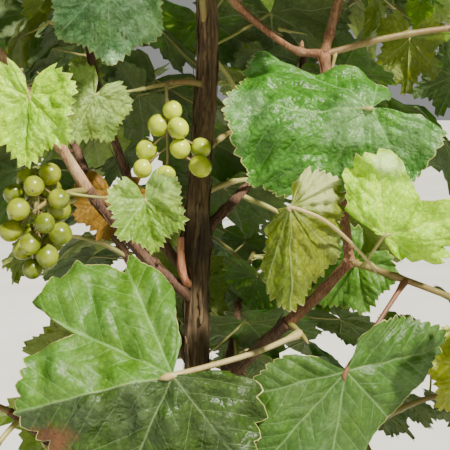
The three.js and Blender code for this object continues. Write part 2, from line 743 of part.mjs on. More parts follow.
// Each limb is cut clear of those before it.
function addLimbs() {
  const grown = [];
  for (const name of Object.keys(LIMBS)) {
    let solid = limbTube(name, 0);
    if (name === "trunk") solid = flatFoot(solid);
    for (const other of grown) solid = solid.subtract(limbTube(other, GAP));
    addMesh(name, largest(solid), name === "trunk" ? MATERIALS.bark : MATERIALS.cane);
    take(limbTube(name, LIMB_GUARD), name);
    grown.push(name);
  }
}

function massStart(mass) {
  if (mass.at) return V(...mass.at);
  return V(...LIMBS[mass.on].route.at(-1));
}

function report(what, other) {
  if (other) console.log(what, "touches", other.owner);
}

// Leaves and bunches set by hand go first, so that the seeded ones keep clear of them.
function setByHand(built) {
  for (const spec of SET_LEAVES) {
    const leaf = { open: [1, 1], ...spec, phase: 0 };
    for (const key of ["joint", "along", "face"]) leaf[key] = V(...spec[key]);
    leaf.foot = pointOn(built[spec.mass].line, spec.foot)[0];
    report("the leaf at " + spec.joint, touched(bladeRoom(leaf, 0.6)));
    report("the stalk to " + spec.joint, touched(stalkRoom(leaf), spec.mass));
    take(bladeRoom(leaf), spec.mass + " blade " + spec.joint);
    take(stalkRoom(leaf), spec.mass);
    built[spec.mass].leaves.push(leaf);
  }
  BUNCHES.forEach((spec, i) => {
    const bunch = { ...spec, foot: pointOn(built[spec.mass].line, spec.foot)[0], top: V(...spec.top) };
    const pieces = bunchSolids(bunch, 500 + i);
    const whole = wasm.Manifold.union(pieces);
    report("the bunch of " + spec.mass, touched(whole, spec.mass));
    take(whole, spec.mass);
    built[spec.mass].pieces.push(...pieces);
  });
}

// A side twig leaves the shoot to one side, with smaller leaves.
function addTwig(name, mass, own, i) {
  const next = seeded(own.seed * 7919 + i * 101 + 3);
  const share = mix(0.18, 0.86, (i + 0.5) / mass.twigs);
  const [root] = pointOn(own.line, share);
  for (let attempt = 0; attempt < TRIES; attempt++) {
    const turn = (i % 2 ? -1 : 1) * mix(35, 95, next());
    const length = mass.length * mix(0.3, 0.52, next());
    const pitch = mass.pitch * 0.5 + spread(next, 40);
    const line = shootLine(root, mass.bearing + turn, pitch, length, -0.2, TWIG_STEPS);
    const radii = taper(TWIG_RADIUS, line.length);
    const guard = tube(line, radii.map((r) => r + 1), TWIG_SIDES);
    if (!line.every(insideCrown) || line.some(inOpenFace) || !isClear(guard, name)) continue;
    const leaves = [];
    const count = Math.max(2, Math.round(length / INTERNODE));
    const reach = leafUp(name, own.seed * 53 + i + 11, line, count, mass.leaf * 0.86, 0.4, leaves);
    if (!leaves.length) continue;
    own.pieces.push(tube(partOf(line, reach), taper(TWIG_RADIUS, partOf(line, reach).length), TWIG_SIDES));
    own.leaves.push(...leaves);
    take(guard, name);
    return share;
  }
  return 0;
}

function addMasses() {
  const names = Object.keys(MASSES);
  const built = {};
  names.forEach((name, n) => {
    const mass = MASSES[name];
    const line = shootLine(massStart(mass), mass.bearing, mass.pitch, mass.length, mass.sag, SHOOT_STEPS);
    built[name] = { seed: n + 1, line, pieces: [], leaves: [], reach: mass.nodes ? 0 : 1 };
    take(tube(line, taper(SHOOT_RADIUS, line.length).map((r) => r + 1), SHOOT_SIDES), name);
  });
  setByHand(built);
  for (const name of names) {
    const mass = MASSES[name];
    const own = built[name];
    const reach = leafUp(name, own.seed, own.line, mass.nodes, mass.leaf, 0.16, own.leaves);
    own.reach = Math.max(own.reach, reach);
  }
  for (const name of names) {
    const mass = MASSES[name];
    const own = built[name];
    for (let i = 0; i < mass.twigs; i++) own.reach = Math.max(own.reach, addTwig(name, mass, own, i));
  }
  for (const name of names) {
    const own = built[name];
    const stem = partOf(own.line, own.reach);
    const pieces = [tube(stem, taper(SHOOT_RADIUS, stem.length), SHOOT_SIDES), ...own.pieces];
    let solid = wasm.Manifold.union([...pieces, ...own.leaves.map(leafSolid)]);
    for (const limb of Object.keys(LIMBS)) {
      const cut = limbTube(limb, GAP);
      if (!apart(solid.boundingBox(), cut.boundingBox())) solid = solid.subtract(cut);
    }
    addMesh(name, largest(solid), MATERIALS.foliage);
  }
  const count = names.reduce((sum, name) => sum + built[name].leaves.length, 0);
  console.log(count, "leaves;", names.map((name) => name + " " + built[name].leaves.length).join(", "));
}

addPot();
addLimbs();
addMasses();

export default vine;
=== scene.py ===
"""The look of a potted grapevine: bark, canes, shoots, leaves, fruit, pot and soil, over its solids."""

import itertools
import math

import bmesh
import bpy
import numpy as np
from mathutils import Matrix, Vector
from mathutils.kdtree import KDTree


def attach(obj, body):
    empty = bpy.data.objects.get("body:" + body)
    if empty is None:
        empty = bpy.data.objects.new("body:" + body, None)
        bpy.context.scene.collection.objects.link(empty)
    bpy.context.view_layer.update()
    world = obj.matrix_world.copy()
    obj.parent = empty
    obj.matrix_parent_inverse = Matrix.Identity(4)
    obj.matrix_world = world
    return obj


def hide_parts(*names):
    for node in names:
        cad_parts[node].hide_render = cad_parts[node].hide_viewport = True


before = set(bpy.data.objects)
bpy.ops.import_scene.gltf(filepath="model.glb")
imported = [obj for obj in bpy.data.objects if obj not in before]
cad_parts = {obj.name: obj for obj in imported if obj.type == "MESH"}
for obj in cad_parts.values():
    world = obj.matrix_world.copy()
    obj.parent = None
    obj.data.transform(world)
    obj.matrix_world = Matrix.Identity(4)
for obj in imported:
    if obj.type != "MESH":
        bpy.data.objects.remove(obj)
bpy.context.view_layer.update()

MM = 0.001
TAU = 2 * math.pi
UP = Vector((0, 0, 1))
MASK = 0xFFFFFFFF

# Everything down to the materials is in millimetres, as the solids were drawn.
POT = {
    "height": 300, "foot": 118, "shoulder": 160, "shoulder_height": 250, "rim": 178, "wall": 11, "floor": 18,
}
POT_LIP = POT["rim"] - POT["wall"] * 1.3
SOIL_TOP = 268
SOIL_FALL = 6

# Key points of half a leaf's outline, from its tip: degrees from the midrib, and reach in a shallow and a
# deep leaf.
KEY_ANGLES = (0, 27, 50, 77, 104, 150)
SHALLOW = (1, 0.84, 0.9, 0.74, 0.74, 0.52)
DEEP = (1, 0.56, 0.9, 0.5, 0.74, 0.52)
WAVE = 0.05

SHOOT_STEPS = 5
SHOOT_RADIUS = (2.5, 1.4)
SHOOT_SIDES = 10
TWIG_RADIUS = (2.2, 1.7)
TWIG_STEPS = 3
INTERNODE = 38
TRIES = 36
# A leaf that the source kept has its tip this near to a corner of its mass.
KEPT_WITHIN = 0.05
# The seeds of the set leaves, and of all others that have none of their own, count up from these.
SET_SEED, LEAF_SEED = 40, 101
BERRY_RADIUS = 7.2
BERRY_GRID = (13, 20)
SCAR_SLOT, BUNCH_STEM_SLOT = 2, 3
GOLDEN_ANGLE = 2.399963
CROWN = {"middle": 815, "half": 460, "radius": 345, "floor": 318}
FACE = {"x": 22, "z": 650, "half": 176, "reach": 600, "slope": 0.1405, "depth": 28}

LIMBS = {
    "trunk": (
        None,
        [(-9, 5, 268.3), (-6, 4, 330), (-2, 1, 430), (1, 0, 530), (1, 0, 600),
         (2, 3, 660), (7, 8, 730), (10, 12, 790), (6, 14, 840)],
        (10.5, 6.2),
    ),
    "arm_lower": ("trunk", [(2, -1, 520), (29, -18, 546), (48, -28, 567), (66, -36, 586)], (5, 4.2)),
    "arm_upper": (
        "arm_lower", [(66, -36, 586), (82, -40, 602), (98, -42, 620), (107, -44, 631)], (3.9, 3.5),
    ),
    "cane_right": (
        "arm_upper", [(107, -44, 631), (105, -41, 650), (100, -30, 693), (91, -12, 772)], (3.4, 3.2),
    ),
    "cane_right_high": (
        "cane_right", [(91, -12, 772), (98, -4, 796), (112, 8, 853), (111, 20, 900)], (3.1, 2.6),
    ),
    "cane_across": (
        "cane_right", [(91, -12, 772), (66, -16, 777), (27, -24, 807), (-5, -30, 842)], (2.6, 2),
    ),
    "cane_left": ("trunk", [(0, -1, 594), (-32, -14, 625), (-58, -28, 660), (-72, -36, 679)], (4, 3.5)),
    "cane_left_mid": (
        "cane_left", [(-72, -36, 679), (-90, -44, 712), (-106, -50, 741), (-119, -53, 762)], (3.6, 3.1),
    ),
    "cane_left_high": (
        "cane_left_mid", [(-119, -53, 762), (-136, -55, 788), (-155, -58, 825), (-172, -58, 862)], (3, 2.5),
    ),
    "cane_steep": (
        "trunk", [(0, 3, 604), (-34, 14, 648), (-49, 18, 678), (-73, 28, 748), (-83, 38, 800)], (3.5, 2.6),
    ),
    "bough_back_left": (
        "trunk", [(-2, 0, 545), (-38, 42, 590), (-80, 90, 645), (-110, 122, 705)], (4.4, 3),
    ),
    "bough_back_right": ("trunk", [(2, 3, 640), (40, 48, 676), (76, 92, 732), (92, 118, 790)], (4.1, 2.9)),
    "bough_back_low": ("trunk", [(-1, 1, 470), (12, 46, 492), (26, 96, 522), (36, 132, 566)], (4.2, 3)),
    "bough_low_left": ("trunk", [(-3, 2, 440), (-48, 4, 452), (-100, -4, 478), (-138, -12, 512)], (4.2, 3)),
    "bough_low_right": ("trunk", [(-2, 1, 420), (44, -6, 436), (96, -2, 458), (136, 12, 492)], (4.2, 3)),
    "top_back": ("trunk", [(6, 14, 840), (-4, 48, 862), (-14, 78, 900), (-16, 96, 945)], (3.4, 2.6)),
    "top_left": ("trunk", [(6, 14, 840), (-22, 20, 872), (-48, 22, 912), (-60, 20, 955)], (3.6, 2.7)),
    "top_right": ("trunk", [(6, 14, 840), (28, 34, 878), (46, 48, 920), (52, 52, 965)], (3.6, 2.7)),
}
FLARE = (11, 24)
KNOB = (640, 2.6, 13)

# Each mass, by its node's name after "foliage_": the limb that carries it or
# its spot on the trunk, bearing, pitch, length, sag, leaf length, nodes and twigs.
MASSES = {
    "low_front": ("arm_lower", -62, -8, 26, -0.2, 62, 0, 0),
    "mid_right": ("arm_upper", -27, -12, 200, -0.12, 76, 6, 3),
    "left_node": ("cane_left", 235, 6, 50, -0.3, 60, 0, 0),
    "left_bend": ("cane_left_mid", 196, 2, 205, -0.3, 78, 7, 3),
    "left_high": ("cane_left_high", 160, 50, 240, -0.35, 78, 7, 3),
    "middle": ((5, 3, 752), 205, 12, 46, -0.3, 52, 0, 0),
    "right_high": ("cane_right", 8, 18, 215, -0.25, 78, 7, 4),
    "across": ("cane_across", 190, 58, 240, -0.3, 76, 7, 3),
    "right_top": ("cane_right_high", 20, 60, 250, -0.3, 80, 7, 3),
    "steep": ("cane_steep", 150, 55, 240, -0.35, 82, 7, 4),
    "back_left": ("bough_back_left", 140, 38, 240, -0.35, 84, 7, 4),
    "back_right": ("bough_back_right", 45, 38, 240, -0.35, 84, 7, 4),
    "back_low": ("bough_back_low", 80, 28, 190, -0.4, 84, 7, 4),
    "low_left": ("bough_low_left", 190, 30, 160, -0.4, 80, 6, 4),
    "low_right": ("bough_low_right", 8, 30, 160, -0.4, 80, 6, 4),
    "top_back": ("top_back", 100, 45, 200, -0.35, 80, 6, 4),
    "top_middle": ((7, 8, 795), 265, 62, 150, -0.2, 72, 5, 2),
    "top_left": ("top_left", 110, 72, 240, -0.25, 80, 7, 3),
    "top_right": ("top_right", 30, 72, 255, -0.25, 80, 7, 3),
    "low_face": ((-3, 2, 400), -95, 22, 170, -0.45, 80, 6, 3),
}

# Leaves given one by one: mass, foot, joint, along, face, length, fold, droop, curl, cut, open, then the look
# of
# each: its tint, the width and depth of its teeth, its pleats, its stalk's radius and slot, how crumpled it
# is, and the tint of its first half where that differs.
SET_LEAVES = [
    ("right_high", 0.04, (115, -72, 735), (-1, 0, 0.02), (0.05, -0.8, 0.6), 94,
     (-36, -22), 0.06, 0, 0.45, (1.12, 1), ("sheen", 0.07, 0.42, 0.002, 1.2, 1, 1.35)),
    ("mid_right", 0.05, (121, -92, 656), (0.78, -0.1, 0.6), (0.1, -0.97, 0.15), 68,
     (-4, -20), 0.15, 0.05, 0.3, (0.65, 0.9), ("lime", 0.1, 0.8, 0.006, 1.1, 1, 1.5)),
    ("mid_right", 0.1, (61, -108, 676), (0.05, -0.05, -1), (0.3, -0.95, 0.1), 65,
     (-24, -60), 0.05, 0, 0.3, (1, 0.5), ("olive", 0.085, 0.65, 0.032, 1.2, 3, 0.8, "straw")),
    # The first half of this leaf takes the deep tint, painted darker as shade.
    ("low_front", 0.6, (-10, -112, 573), (-0.97, -0.05, -0.2), (0.1, -0.85, 0.5), 103,
     (-30, -6), 0.08, 0, 0.8, (1.1, 0.74), ("mid", 0.13, 0.34, 0.004, 1.9, 3, 1.4, "deep")),
    ("mid_right", 0.2, (98, -98, 571), (-0.12, -0.06, -0.98), (0.2, -0.97, 0.1), 86,
     (-8, -10), 0.08, 0.05, 0.2, (1, 0.66), ("dark", 0.075, 0.42, 0.002, 1.5, 2, 0.8)),
    ("left_bend", 0.05, (-100, -78, 742), (-0.1, -0.12, -1), (-0.1, -0.85, 0.5), 45,
     (10, 10), 0.1, 0.1, 0.35, (1, 1), ("lime", 0.12, 0.7, 0.016, 1, 1, 1.4)),
    ("middle", 0.95, (-66, -32, 744), (-0.45, -0.2, -0.85), (0.35, -0.8, 0.5), 38,
     (-20, -20), 0.1, 0.1, 0.3, (1, 1), ("pale", 0.12, 0.55, 0.016, 0.9, 1, 1.2)),
    # This leaf's blue tint is painted lighter than its own colour, as sunlight.
    ("across", 0.05, (-58, -24, 817), (0.08, -0.2, -1), (0.1, -0.8, 0.55), 54,
     (-10, -10), 0.1, 0.1, 0.15, (1, 1), ("blue", 0.09, 0.4, 0.008, 1, 1, 1.6)),
    ("left_node", 0.4, (-31, -58, 675), (0.2, -0.1, -1), (0.1, -0.9, 0.3), 37,
     (26, 26), 0.08, 0, 0.3, (1, 1), ("fresh", 0.13, 0.7, 0.018, 0.9, 1, 1.3)),
    ("mid_right", 0.5, (194, -58, 564), (-0.6, -0.05, -0.8), (0.2, -0.9, 0.4), 44,
     (-12, -12), 0.1, 0.1, 0.5, (1, 1), ("yellow", 0.12, 0.6, 0.008, 1, 1, 1)),
    ("mid_right", 0.06, (118, -8, 625), (-0.6, 0.05, -0.75), (-0.1, -0.9, 0.4), 44,
     (6, 6), 0.08, 0.05, 0.3, (1, 1), ("mid", 0.12, 0.5, 0.008, 1, 1, 1)),
]
# The reach of both halves' key points where a set leaf has its own, by its place in the list.
OWN_LOBES = {
    0: ((1, 0.88, 0.82, 0.7, 0.6, 0.56), (1, 0.93, 0.92, 0.42, 0.6, 0.34)),
    1: ((1, 0.8, 0.9, 0.7, 0.8, 0.55), (1, 0.84, 0.9, 0.7, 0.55, 0.16)),
    2: ((1, 0.8, 0.85, 0.7, 0.74, 0.36), (1, 0.92, 0.85, 0.5, 0.24, 0.1)),
    3: ((1, 0.8, 0.9, 0.7, 0.74, 0.5), (1, 0.62, 1.02, 0.95, 0.86, 0.3)),
    4: ((1, 0.66, 0.58, 0.7, 0.86, 0.44), (1, 0.92, 0.94, 0.78, 0.74, 0.44)),
}
# Finer outlines that the photo shows, by leaf and half, from the tip round: from and up to which angle the
# edge is toothed, then angles in degrees and reaches.
OWN_EDGES = {
    (0, 0): ((0, 180), (
        (0, 1), (4, 0.97), (14, 0.955), (24.8, 0.9), (30.6, 0.95), (36.5, 0.825), (40.4, 0.86),
        (47.7, 0.81), (57, 0.62), (75, 0.6), (96, 0.565), (118, 0.595), (139, 0.53), (157, 0.54),
        (166, 0.5),
    )),
    (0, 1): ((0, 38), (
        (0, 1), (8, 0.99), (18, 0.94), (25, 0.915), (33, 1.01), (37.5, 1), (44, 1.09), (46, 0.69),
        (54, 0.57), (70, 0.56), (86, 0.52), (115, 0.39), (128, 0.28),
    )),
    (1, 0): ((0, 0), (
        (0, 0.547), (8.6, 0.458), (34.7, 0.599), (40.6, 0.697), (48.8, 0.77), (57, 0.793), (59.5, 0.739),
        (67.3, 0.791), (69.6, 0.746), (72.6, 0.803), (76.8, 0.725), (78, 0.672), (83.4, 0.715),
        (88.6, 0.677), (90, 0.604), (92.3, 0.585), (93.6, 0.527), (98.8, 0.503), (100, 0.45),
        (109.2, 0.438), (110.5, 0.345), (112, 0.277), (116, 0.145),
    )),
    (1, 1): ((10, 60), (
        (0, 0.547), (7.4, 0.686), (16.3, 0.885), (26, 0.93), (38, 0.83), (50, 0.66), (61.8, 0.614),
        (63.9, 0.673), (70.6, 0.602), (71.8, 0.478), (76.3, 0.461), (82.9, 0.42), (84, 0.341), (92, 0.33),
        (98, 0.245), (101.8, 0.124),
    )),
    (3, 1): ((0, 20), (
        (0, 1), (5, 0.93), (14, 0.93), (21.6, 0.88), (29, 0.76), (35.5, 0.68), (39.5, 1.02), (44, 0.985),
        (51.3, 1.04), (52.5, 0.99), (61.4, 1.02), (62.6, 0.95), (69.6, 0.88), (75.5, 0.76), (81, 0.875),
        (84.5, 0.78), (94, 0.66), (99, 0.585), (103, 0.36),
    )),
    (4, 0): ((90, 180), (
        (0, 1), (27, 0.66), (50, 0.55), (77, 0.62), (93, 0.72), (108, 0.9), (114, 0.86), (130, 0.64),
        (150, 0.44),
    )),
}
# The angles of a set leaf's main veins, where they aren't the usual ones.
OWN_VEINS = {1: (24, -58, -102, 72)}
# The way that a set leaf's stalk takes from its foot, where it doesn't run straight.
OWN_STALKS = {
    0: [(97, -13, 754), (108, -40, 738)],
    2: [(101, -84, 651), (80, -108, 669)],
}

# Bunches: mass, foot, top, length, width, berries or set spots.
BUNCHES = [
    ("left_node", 0.95, (-101, -60, 693), 62, 25, 21, None),
    ("middle", 0.5, (-18, -26, 748), 60, 9, 9,
     [(4, -15), (-6, -25), (8, -27), (-15, -43), (-17, -54), (9, -40), (23, -41), (23, -53), (-1, -59)]),
]


# The source's rule, written again

def seeded(seed):
    """The same repeatable numbers from 0 to 1 as the solids were grown with."""
    state = seed & MASK

    def draw():
        nonlocal state
        state = (state + 0x6D2B79F5) & MASK
        t = ((state ^ (state >> 15)) * (1 | state)) & MASK
        t = (((t + (((t ^ (t >> 7)) * (61 | t)) & MASK)) & MASK) ^ t) & MASK
        return (t ^ (t >> 14)) / 4294967296

    return draw


def mix(a, b, t):
    return a + (b - a) * t


def spread(draw, size):
    return (draw() * 2 - 1) * size


def along(route, steps):
    """A smooth line through the points of a route, as steps + 1 points."""
    points = [Vector(p) for p in route]
    last = len(points) - 1
    line = []
    for k in range(steps + 1):
        u = k / steps * last
        i = min(int(u), last - 1)
        t = u - i
        before = points[i - 1] if i > 0 else points[0] * 2 - points[1]
        after = points[i + 2] if i < last - 1 else points[i + 1] * 2 - points[i]
        line.append(
            before * (0.5 * (-t + 2 * t * t - t**3))
            + points[i] * (0.5 * (2 - 5 * t * t + 3 * t**3))
            + points[i + 1] * (0.5 * (t + 4 * t * t - 3 * t**3))
            + after * (0.5 * (-t * t + t**3))
        )
    return line


def blade_up(leaf, across, ahead, angle, reach):
    """How far the blade stands above its plane, for numbers or arrays, as a share of its length."""
    side = np.abs(across)
    fold = np.radians(np.where(across < 0, leaf["fold"][0], leaf["fold"][1]))
    fall = np.where(ahead > 0, 1, 0.4) * ahead * ahead
    wave = WAVE * reach * reach * np.sin(3 * angle + leaf["phase"])
    up = side * np.sin(fold) - leaf["droop"] * fall - leaf["curl"] * side * side + wave
    return across * np.cos(fold), ahead, up


def leaf_axes(leaf):
    """A leaf's own directions: across it, ahead to its tip, and up from its blade."""
    ahead = leaf["along"].normalized()
    face = (leaf["face"] - ahead * leaf["face"].dot(ahead)).normalized()
    return ahead.cross(face), ahead, face


def tip_of(leaf):
    """Where the tip of a leaf's solid is."""
    x, y, z = leaf_axes(leaf)
    wave = WAVE * math.sin(leaf["phase"])
    return leaf["joint"] + y * leaf["length"] + z * ((wave - leaf["droop"]) * leaf["length"])


def inside_crown(p):
    """Whether a point is in the round of the crown, above its floor."""
    level = (p.z - CROWN["middle"]) / CROWN["half"]
    if p.z < CROWN["floor"] or abs(level) > 1:
        return False
    return math.hypot(p.x, p.y) < CROWN["radius"] * math.sqrt(1 - 0.75 * level * level)


def in_open_face(p):
    """Whether a point is in the wedge before the limbs that the photo looks through."""
    half = FACE["half"] * (FACE["reach"] + p.y) / FACE["reach"]
    level = p.z - FACE["z"] + FACE["slope"] * p.y
    return p.y < FACE["depth"] and abs(p.x - FACE["x"]) < half and abs(level) < half


def grow_leaf(draw, root, forward, side, length):
    """One try at a leaf on a shoot, with the draws in the source's order."""
    outward = Vector((root.x, root.y, 0)).normalized()
    reach = side * 0.9 + outward * mix(0.2, 0.9, draw())
    reach += UP * (spread(draw, 0.5) + 0.25)
    reach += forward * (spread(draw, 0.5) + 0.15)
    reach.normalize()
    size = length * mix(0.84, 1.16, draw())
    joint = root + reach * (size * mix(0.55, 1, draw()))
    face = outward * mix(0.4, 1, draw())
    face += UP * mix(0.3, 1, draw())
    face += Vector((spread(draw, 0.45), spread(draw, 0.45), spread(draw, 0.3)))
    ahead = reach * 0.55 + outward * 0.35 - UP * mix(0.35, 0.9, draw())
    ahead += Vector((spread(draw, 0.3), spread(draw, 0.3), 0))
    return {
        "foot": root,
        "joint": joint,
        "along": ahead,
        "face": face,
        "length": size,
        "fold": (mix(-16, 14, draw()), mix(-16, 14, draw())),
        "droop": mix(0.04, 0.24, draw()),
        "curl": mix(-0.05, 0.22, draw()),
        "cut": mix(0.15, 0.85, draw()),
        "open": (mix(0.86, 1.04, draw()), mix(0.86, 1.04, draw())),
        "phase": draw() * TAU,
    }


def fits(points):
    """Whether points are inside the crown, and none is in the gap that the photo looks through."""
    return all(map(inside_crown, points)) and not any(map(in_open_face, points))


def beside(forward, flip):
    """Level and square to a shoot's way, to its other side where flip is true."""
    return forward.cross(UP).normalized() * (-1 if flip else 1)


def shoot_line(start, bearing, pitch, length, sag, steps):
    """A shoot's line from its start, by its bearing and pitch in degrees, that sags or rises as it goes."""
    b, p = math.radians(bearing), math.radians(pitch)
    way = Vector((math.cos(b) * math.cos(p), math.sin(b) * math.cos(p), math.sin(p)))
    line = []
    for k in range(steps + 1):
        t = k / steps
        line.append(start + way * (length * t) + UP * (sag * length * t * t))
    return line


def point_on(line, share):
    """The point at a share of a line, and the line's way there."""
    u = share * (len(line) - 1)
    k = min(int(u), len(line) - 2)
    return line[k].lerp(line[k + 1], u - k), (line[k + 1] - line[k]).normalized()


def part_of(line, share):
    """A line's first part, up to a share of it."""
    whole = math.floor(share * (len(line) - 1) - 0.05)
    return [*line[: whole + 1], point_on(line, share)[0]]


def kept_points(name):
    """The corners of a mass's solid, to tell which leaves the source kept."""
    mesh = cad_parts["foliage_" + name].data
    tree = KDTree(len(mesh.vertices))
    for v in mesh.vertices:
        tree.insert(v.co / MM, v.index)
    tree.balance()
    return tree


def leaf_up(tree, seed, line, count, length, first, leaves):
    """The leaves that the source put along a line, and the share where the last one grows."""
    reach = 0
    for i in range(count):
        share = mix(first, 1, i / max(count - 1, 1))
        root, forward = point_on(line, share)
        side = beside(forward, i % 2)
        draw = seeded(seed * 1009 + i * 31 + 7)
        for attempt in range(TRIES):
            size = length * mix(1, 0.66, share * share) * mix(1, 0.72, attempt / TRIES)
            leaf = grow_leaf(draw, root, forward, side, size)
            if tree.find(tip_of(leaf))[2] < KEPT_WITHIN:
                leaves.append(leaf)
                reach = share
                break
    return reach


def grow_twig(tree, name, own, i):
    """A side twig that the source kept, as its line and leaves, or None."""
    _, bearing, pitch, length, _, leaf_size, _, twigs = MASSES[name]
    draw = seeded(own["seed"] * 7919 + i * 101 + 3)
    share = mix(0.18, 0.86, (i + 0.5) / twigs)
    root, _ = point_on(own["line"], share)
    for _ in range(TRIES):
        turn = (-1 if i % 2 else 1) * mix(35, 95, draw())
        reach = length * mix(0.3, 0.52, draw())
        rise = pitch * 0.5 + spread(draw, 40)
        line = shoot_line(root, bearing + turn, rise, reach, -0.2, TWIG_STEPS)
        if not fits(line):
            continue
        leaves = []
        count = max(2, math.floor(reach / INTERNODE + 0.5))
        last = leaf_up(tree, own["seed"] * 53 + i + 11, line, count, leaf_size * 0.86, 0.4, leaves)
        if leaves:
            return {"share": share, "line": part_of(line, last), "leaves": leaves}
    return None


def grow_masses():
    """Every mass as the source grew it: its shoot, its twigs and its leaves."""
    built = {}
    for n, (name, (on, bearing, pitch, length, sag, _, nodes, _)) in enumerate(MASSES.items()):
        start = Vector(LIMBS[on][1][-1] if isinstance(on, str) else on)
        line = shoot_line(start, bearing, pitch, length, sag, SHOOT_STEPS)
        built[name] = {"seed": n + 1, "line": line, "leaves": [], "twigs": [], "reach": 0 if nodes else 1}
    for k, (name, foot, joint, ahead, face, *shape, look) in enumerate(SET_LEAVES):
        leaf = dict(zip(("length", "fold", "droop", "curl", "cut", "open"), shape))
        leaf.update(
            foot=point_on(built[name]["line"], foot)[0], joint=Vector(joint), along=Vector(ahead),
            face=Vector(face), phase=0, seed=SET_SEED + k, look=look,
            lobes=OWN_LOBES.get(k), veins=OWN_VEINS.get(k), way=OWN_STALKS.get(k),
            edges=[OWN_EDGES.get((k, side)) for side in (0, 1)],
        )
        built[name]["leaves"].append(leaf)
    for name, own in built.items():
        *_, leaf_size, nodes, twigs = MASSES[name]
        tree = kept_points(name)
        last = leaf_up(tree, own["seed"], own["line"], nodes, leaf_size, 0.16, own["leaves"])
        own["reach"] = max(own["reach"], last)
        for i in range(twigs):
            twig = grow_twig(tree, name, own, i)
            if twig:
                own["twigs"].append(twig)
                own["reach"] = max(own["reach"], twig["share"])
    return built


def source_leaves(own):
    """A mass's leaves that its solid has too."""
    return own["leaves"] + [leaf for twig in own["twigs"] for leaf in twig["leaves"]]


def berries(top, length, width, count, spots, seed):
    """The berries of a bunch round its stem, pushed apart until they only touch."""
    draw = seeded(seed)
    found = []
    for i in range(count):
        turn = i * GOLDEN_ANGLE
        share = (i + 0.5) / count
        out = width * math.sin(math.pi * mix(0.16, 0.97, share)) * mix(0.55, 0.85, draw())
        offset = Vector((out * math.cos(turn), out * math.sin(turn), -length * share))
        if spots:
            offset.x, offset.z = spots[i]
            share = -offset.z / length
        found.append([top + offset, share, BERRY_RADIUS * mix(0.9, 1.08, draw())])
    for _ in range(24):
        for i in range(count):
            for j in range(i + 1, count):
                between = found[j][0] - found[i][0]
                short = found[i][2] + found[j][2] + 0.3 - between.length
                if short > 0:
                    between = between.normalized() * (short / 2)
                    found[i][0] -= between
                    found[j][0] += between
    return found


# Meshes

def array_of(vectors):
    """Vectors or tuples as an array, one to a row."""
    return np.array([tuple(v) for v in vectors], float)


def unit(ways):
    """Directions of length one, along the last axis."""
    return ways / np.maximum(np.linalg.norm(ways, axis=-1, keepdims=True), 1e-9)


def circle(around):
    """Evenly spaced turns, and their cosines and sines."""
    turn = TAU * np.arange(around) / around
    return turn, np.cos(turn), np.sin(turn)


def line_length(line):
    return sum((Vector(b) - Vector(a)).length for a, b in zip(line, line[1:]))


def noise_of(seed, columns, rows):
    """Smooth noise from -0.5 to 0.5 that closes on itself, read at u and v in cells."""
    grid = np.random.default_rng(seed).random((columns, rows))

    def read(u, v):
        u, v = np.broadcast_arrays(np.asarray(u, float), np.asarray(v, float))
        i, j = np.floor(u).astype(int), np.floor(v).astype(int)
        fu, fv = u - i, v - j
        fu, fv = fu * fu * (3 - 2 * fu), fv * fv * (3 - 2 * fv)
        near, far = (
            grid[i % columns, row % rows] * (1 - fu) + grid[(i + 1) % columns, row % rows] * fu
            for row in (j, j + 1)
        )
        return near * (1 - fv) + far * fv - 0.5

    return read


class Batch:
    """Meshes of one kind, joined into one piece."""

    def __init__(self):
        self.points, self.loops, self.sizes, self.slots, self.uvs, self.sharp = [], [], [], [], [], []
        self.count = 0

    def add(self, points, faces, slot=0, uv=None, sharp=None):
        """Points in mm, and arrays of faces with 3 or 4 corners, each with its own slot and uv."""
        slots = slot if isinstance(slot, list) else [slot] * len(faces)
        for k, corners in enumerate(faces):
            self.loops.append((corners + self.count).ravel())
            self.sizes.append(np.full(len(corners), corners.shape[1]))
            self.slots.append(np.broadcast_to(slots[k], (len(corners),)))
            self.uvs.append(np.zeros((corners.size, 2)) if uv is None else uv[k].reshape(-1, 2))
        self.points.append(points)
        self.sharp.append(np.zeros(len(points), bool) if sharp is None else sharp)
        self.count += len(points)

    def build(self, name, materials, slot, nodes):
        """Makes the piece, in metres, which takes the place of the nodes."""
        points, sizes = np.concatenate(self.points) * MM, np.concatenate(self.sizes)
        loops, uvs = np.concatenate(self.loops), np.concatenate(self.uvs)
        mesh = bpy.data.meshes.new(name)
        for items, field, values in (
            (mesh.vertices, "co", points), (mesh.loops, "vertex_index", loops),
            (mesh.polygons, "loop_start", np.cumsum(sizes) - sizes),
        ):
            items.add(len(values))
            items.foreach_set(field, values.astype(np.float32 if field == "co" else np.int32).ravel())
        for material in materials:
            mesh.materials.append(material)
        mesh.polygons.foreach_set("material_index", np.concatenate(self.slots).astype(np.int32))
        mesh.polygons.foreach_set("use_smooth", np.ones(len(sizes), bool))
        mesh.uv_layers.new(name=UV_NAME).data.foreach_set("uv", uvs.astype(np.float32).ravel())
        mesh.update(calc_edges=True)
        edges = np.zeros(len(mesh.edges) * 2, np.int32)
        mesh.edges.foreach_get("vertices", edges)
        sharp = np.concatenate(self.sharp)[edges].reshape(-1, 2).all(axis=1)
        mesh.edges.foreach_set("use_edge_sharp", sharp)
        mesh.validate()
        piece = bpy.data.objects.new(name, mesh)
        bpy.context.scene.collection.objects.link(piece)
        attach(piece, "root")
        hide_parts(*nodes)


def frames_along(line):
    """Points of a line with two directions across it at each, carried on without a twist."""
    points = array_of(line)
    ways = unit(np.gradient(points, axis=0))
    side = np.array([0.0, 1.0, 0.0] if abs(ways[0][0]) > 0.9 else [1.0, 0.0, 0.0])
    sides = []
    for way in ways:
        side = unit(side - way * side.dot(way))
        sides.append(side)
    return points, np.array(sides), np.cross(ways, sides)


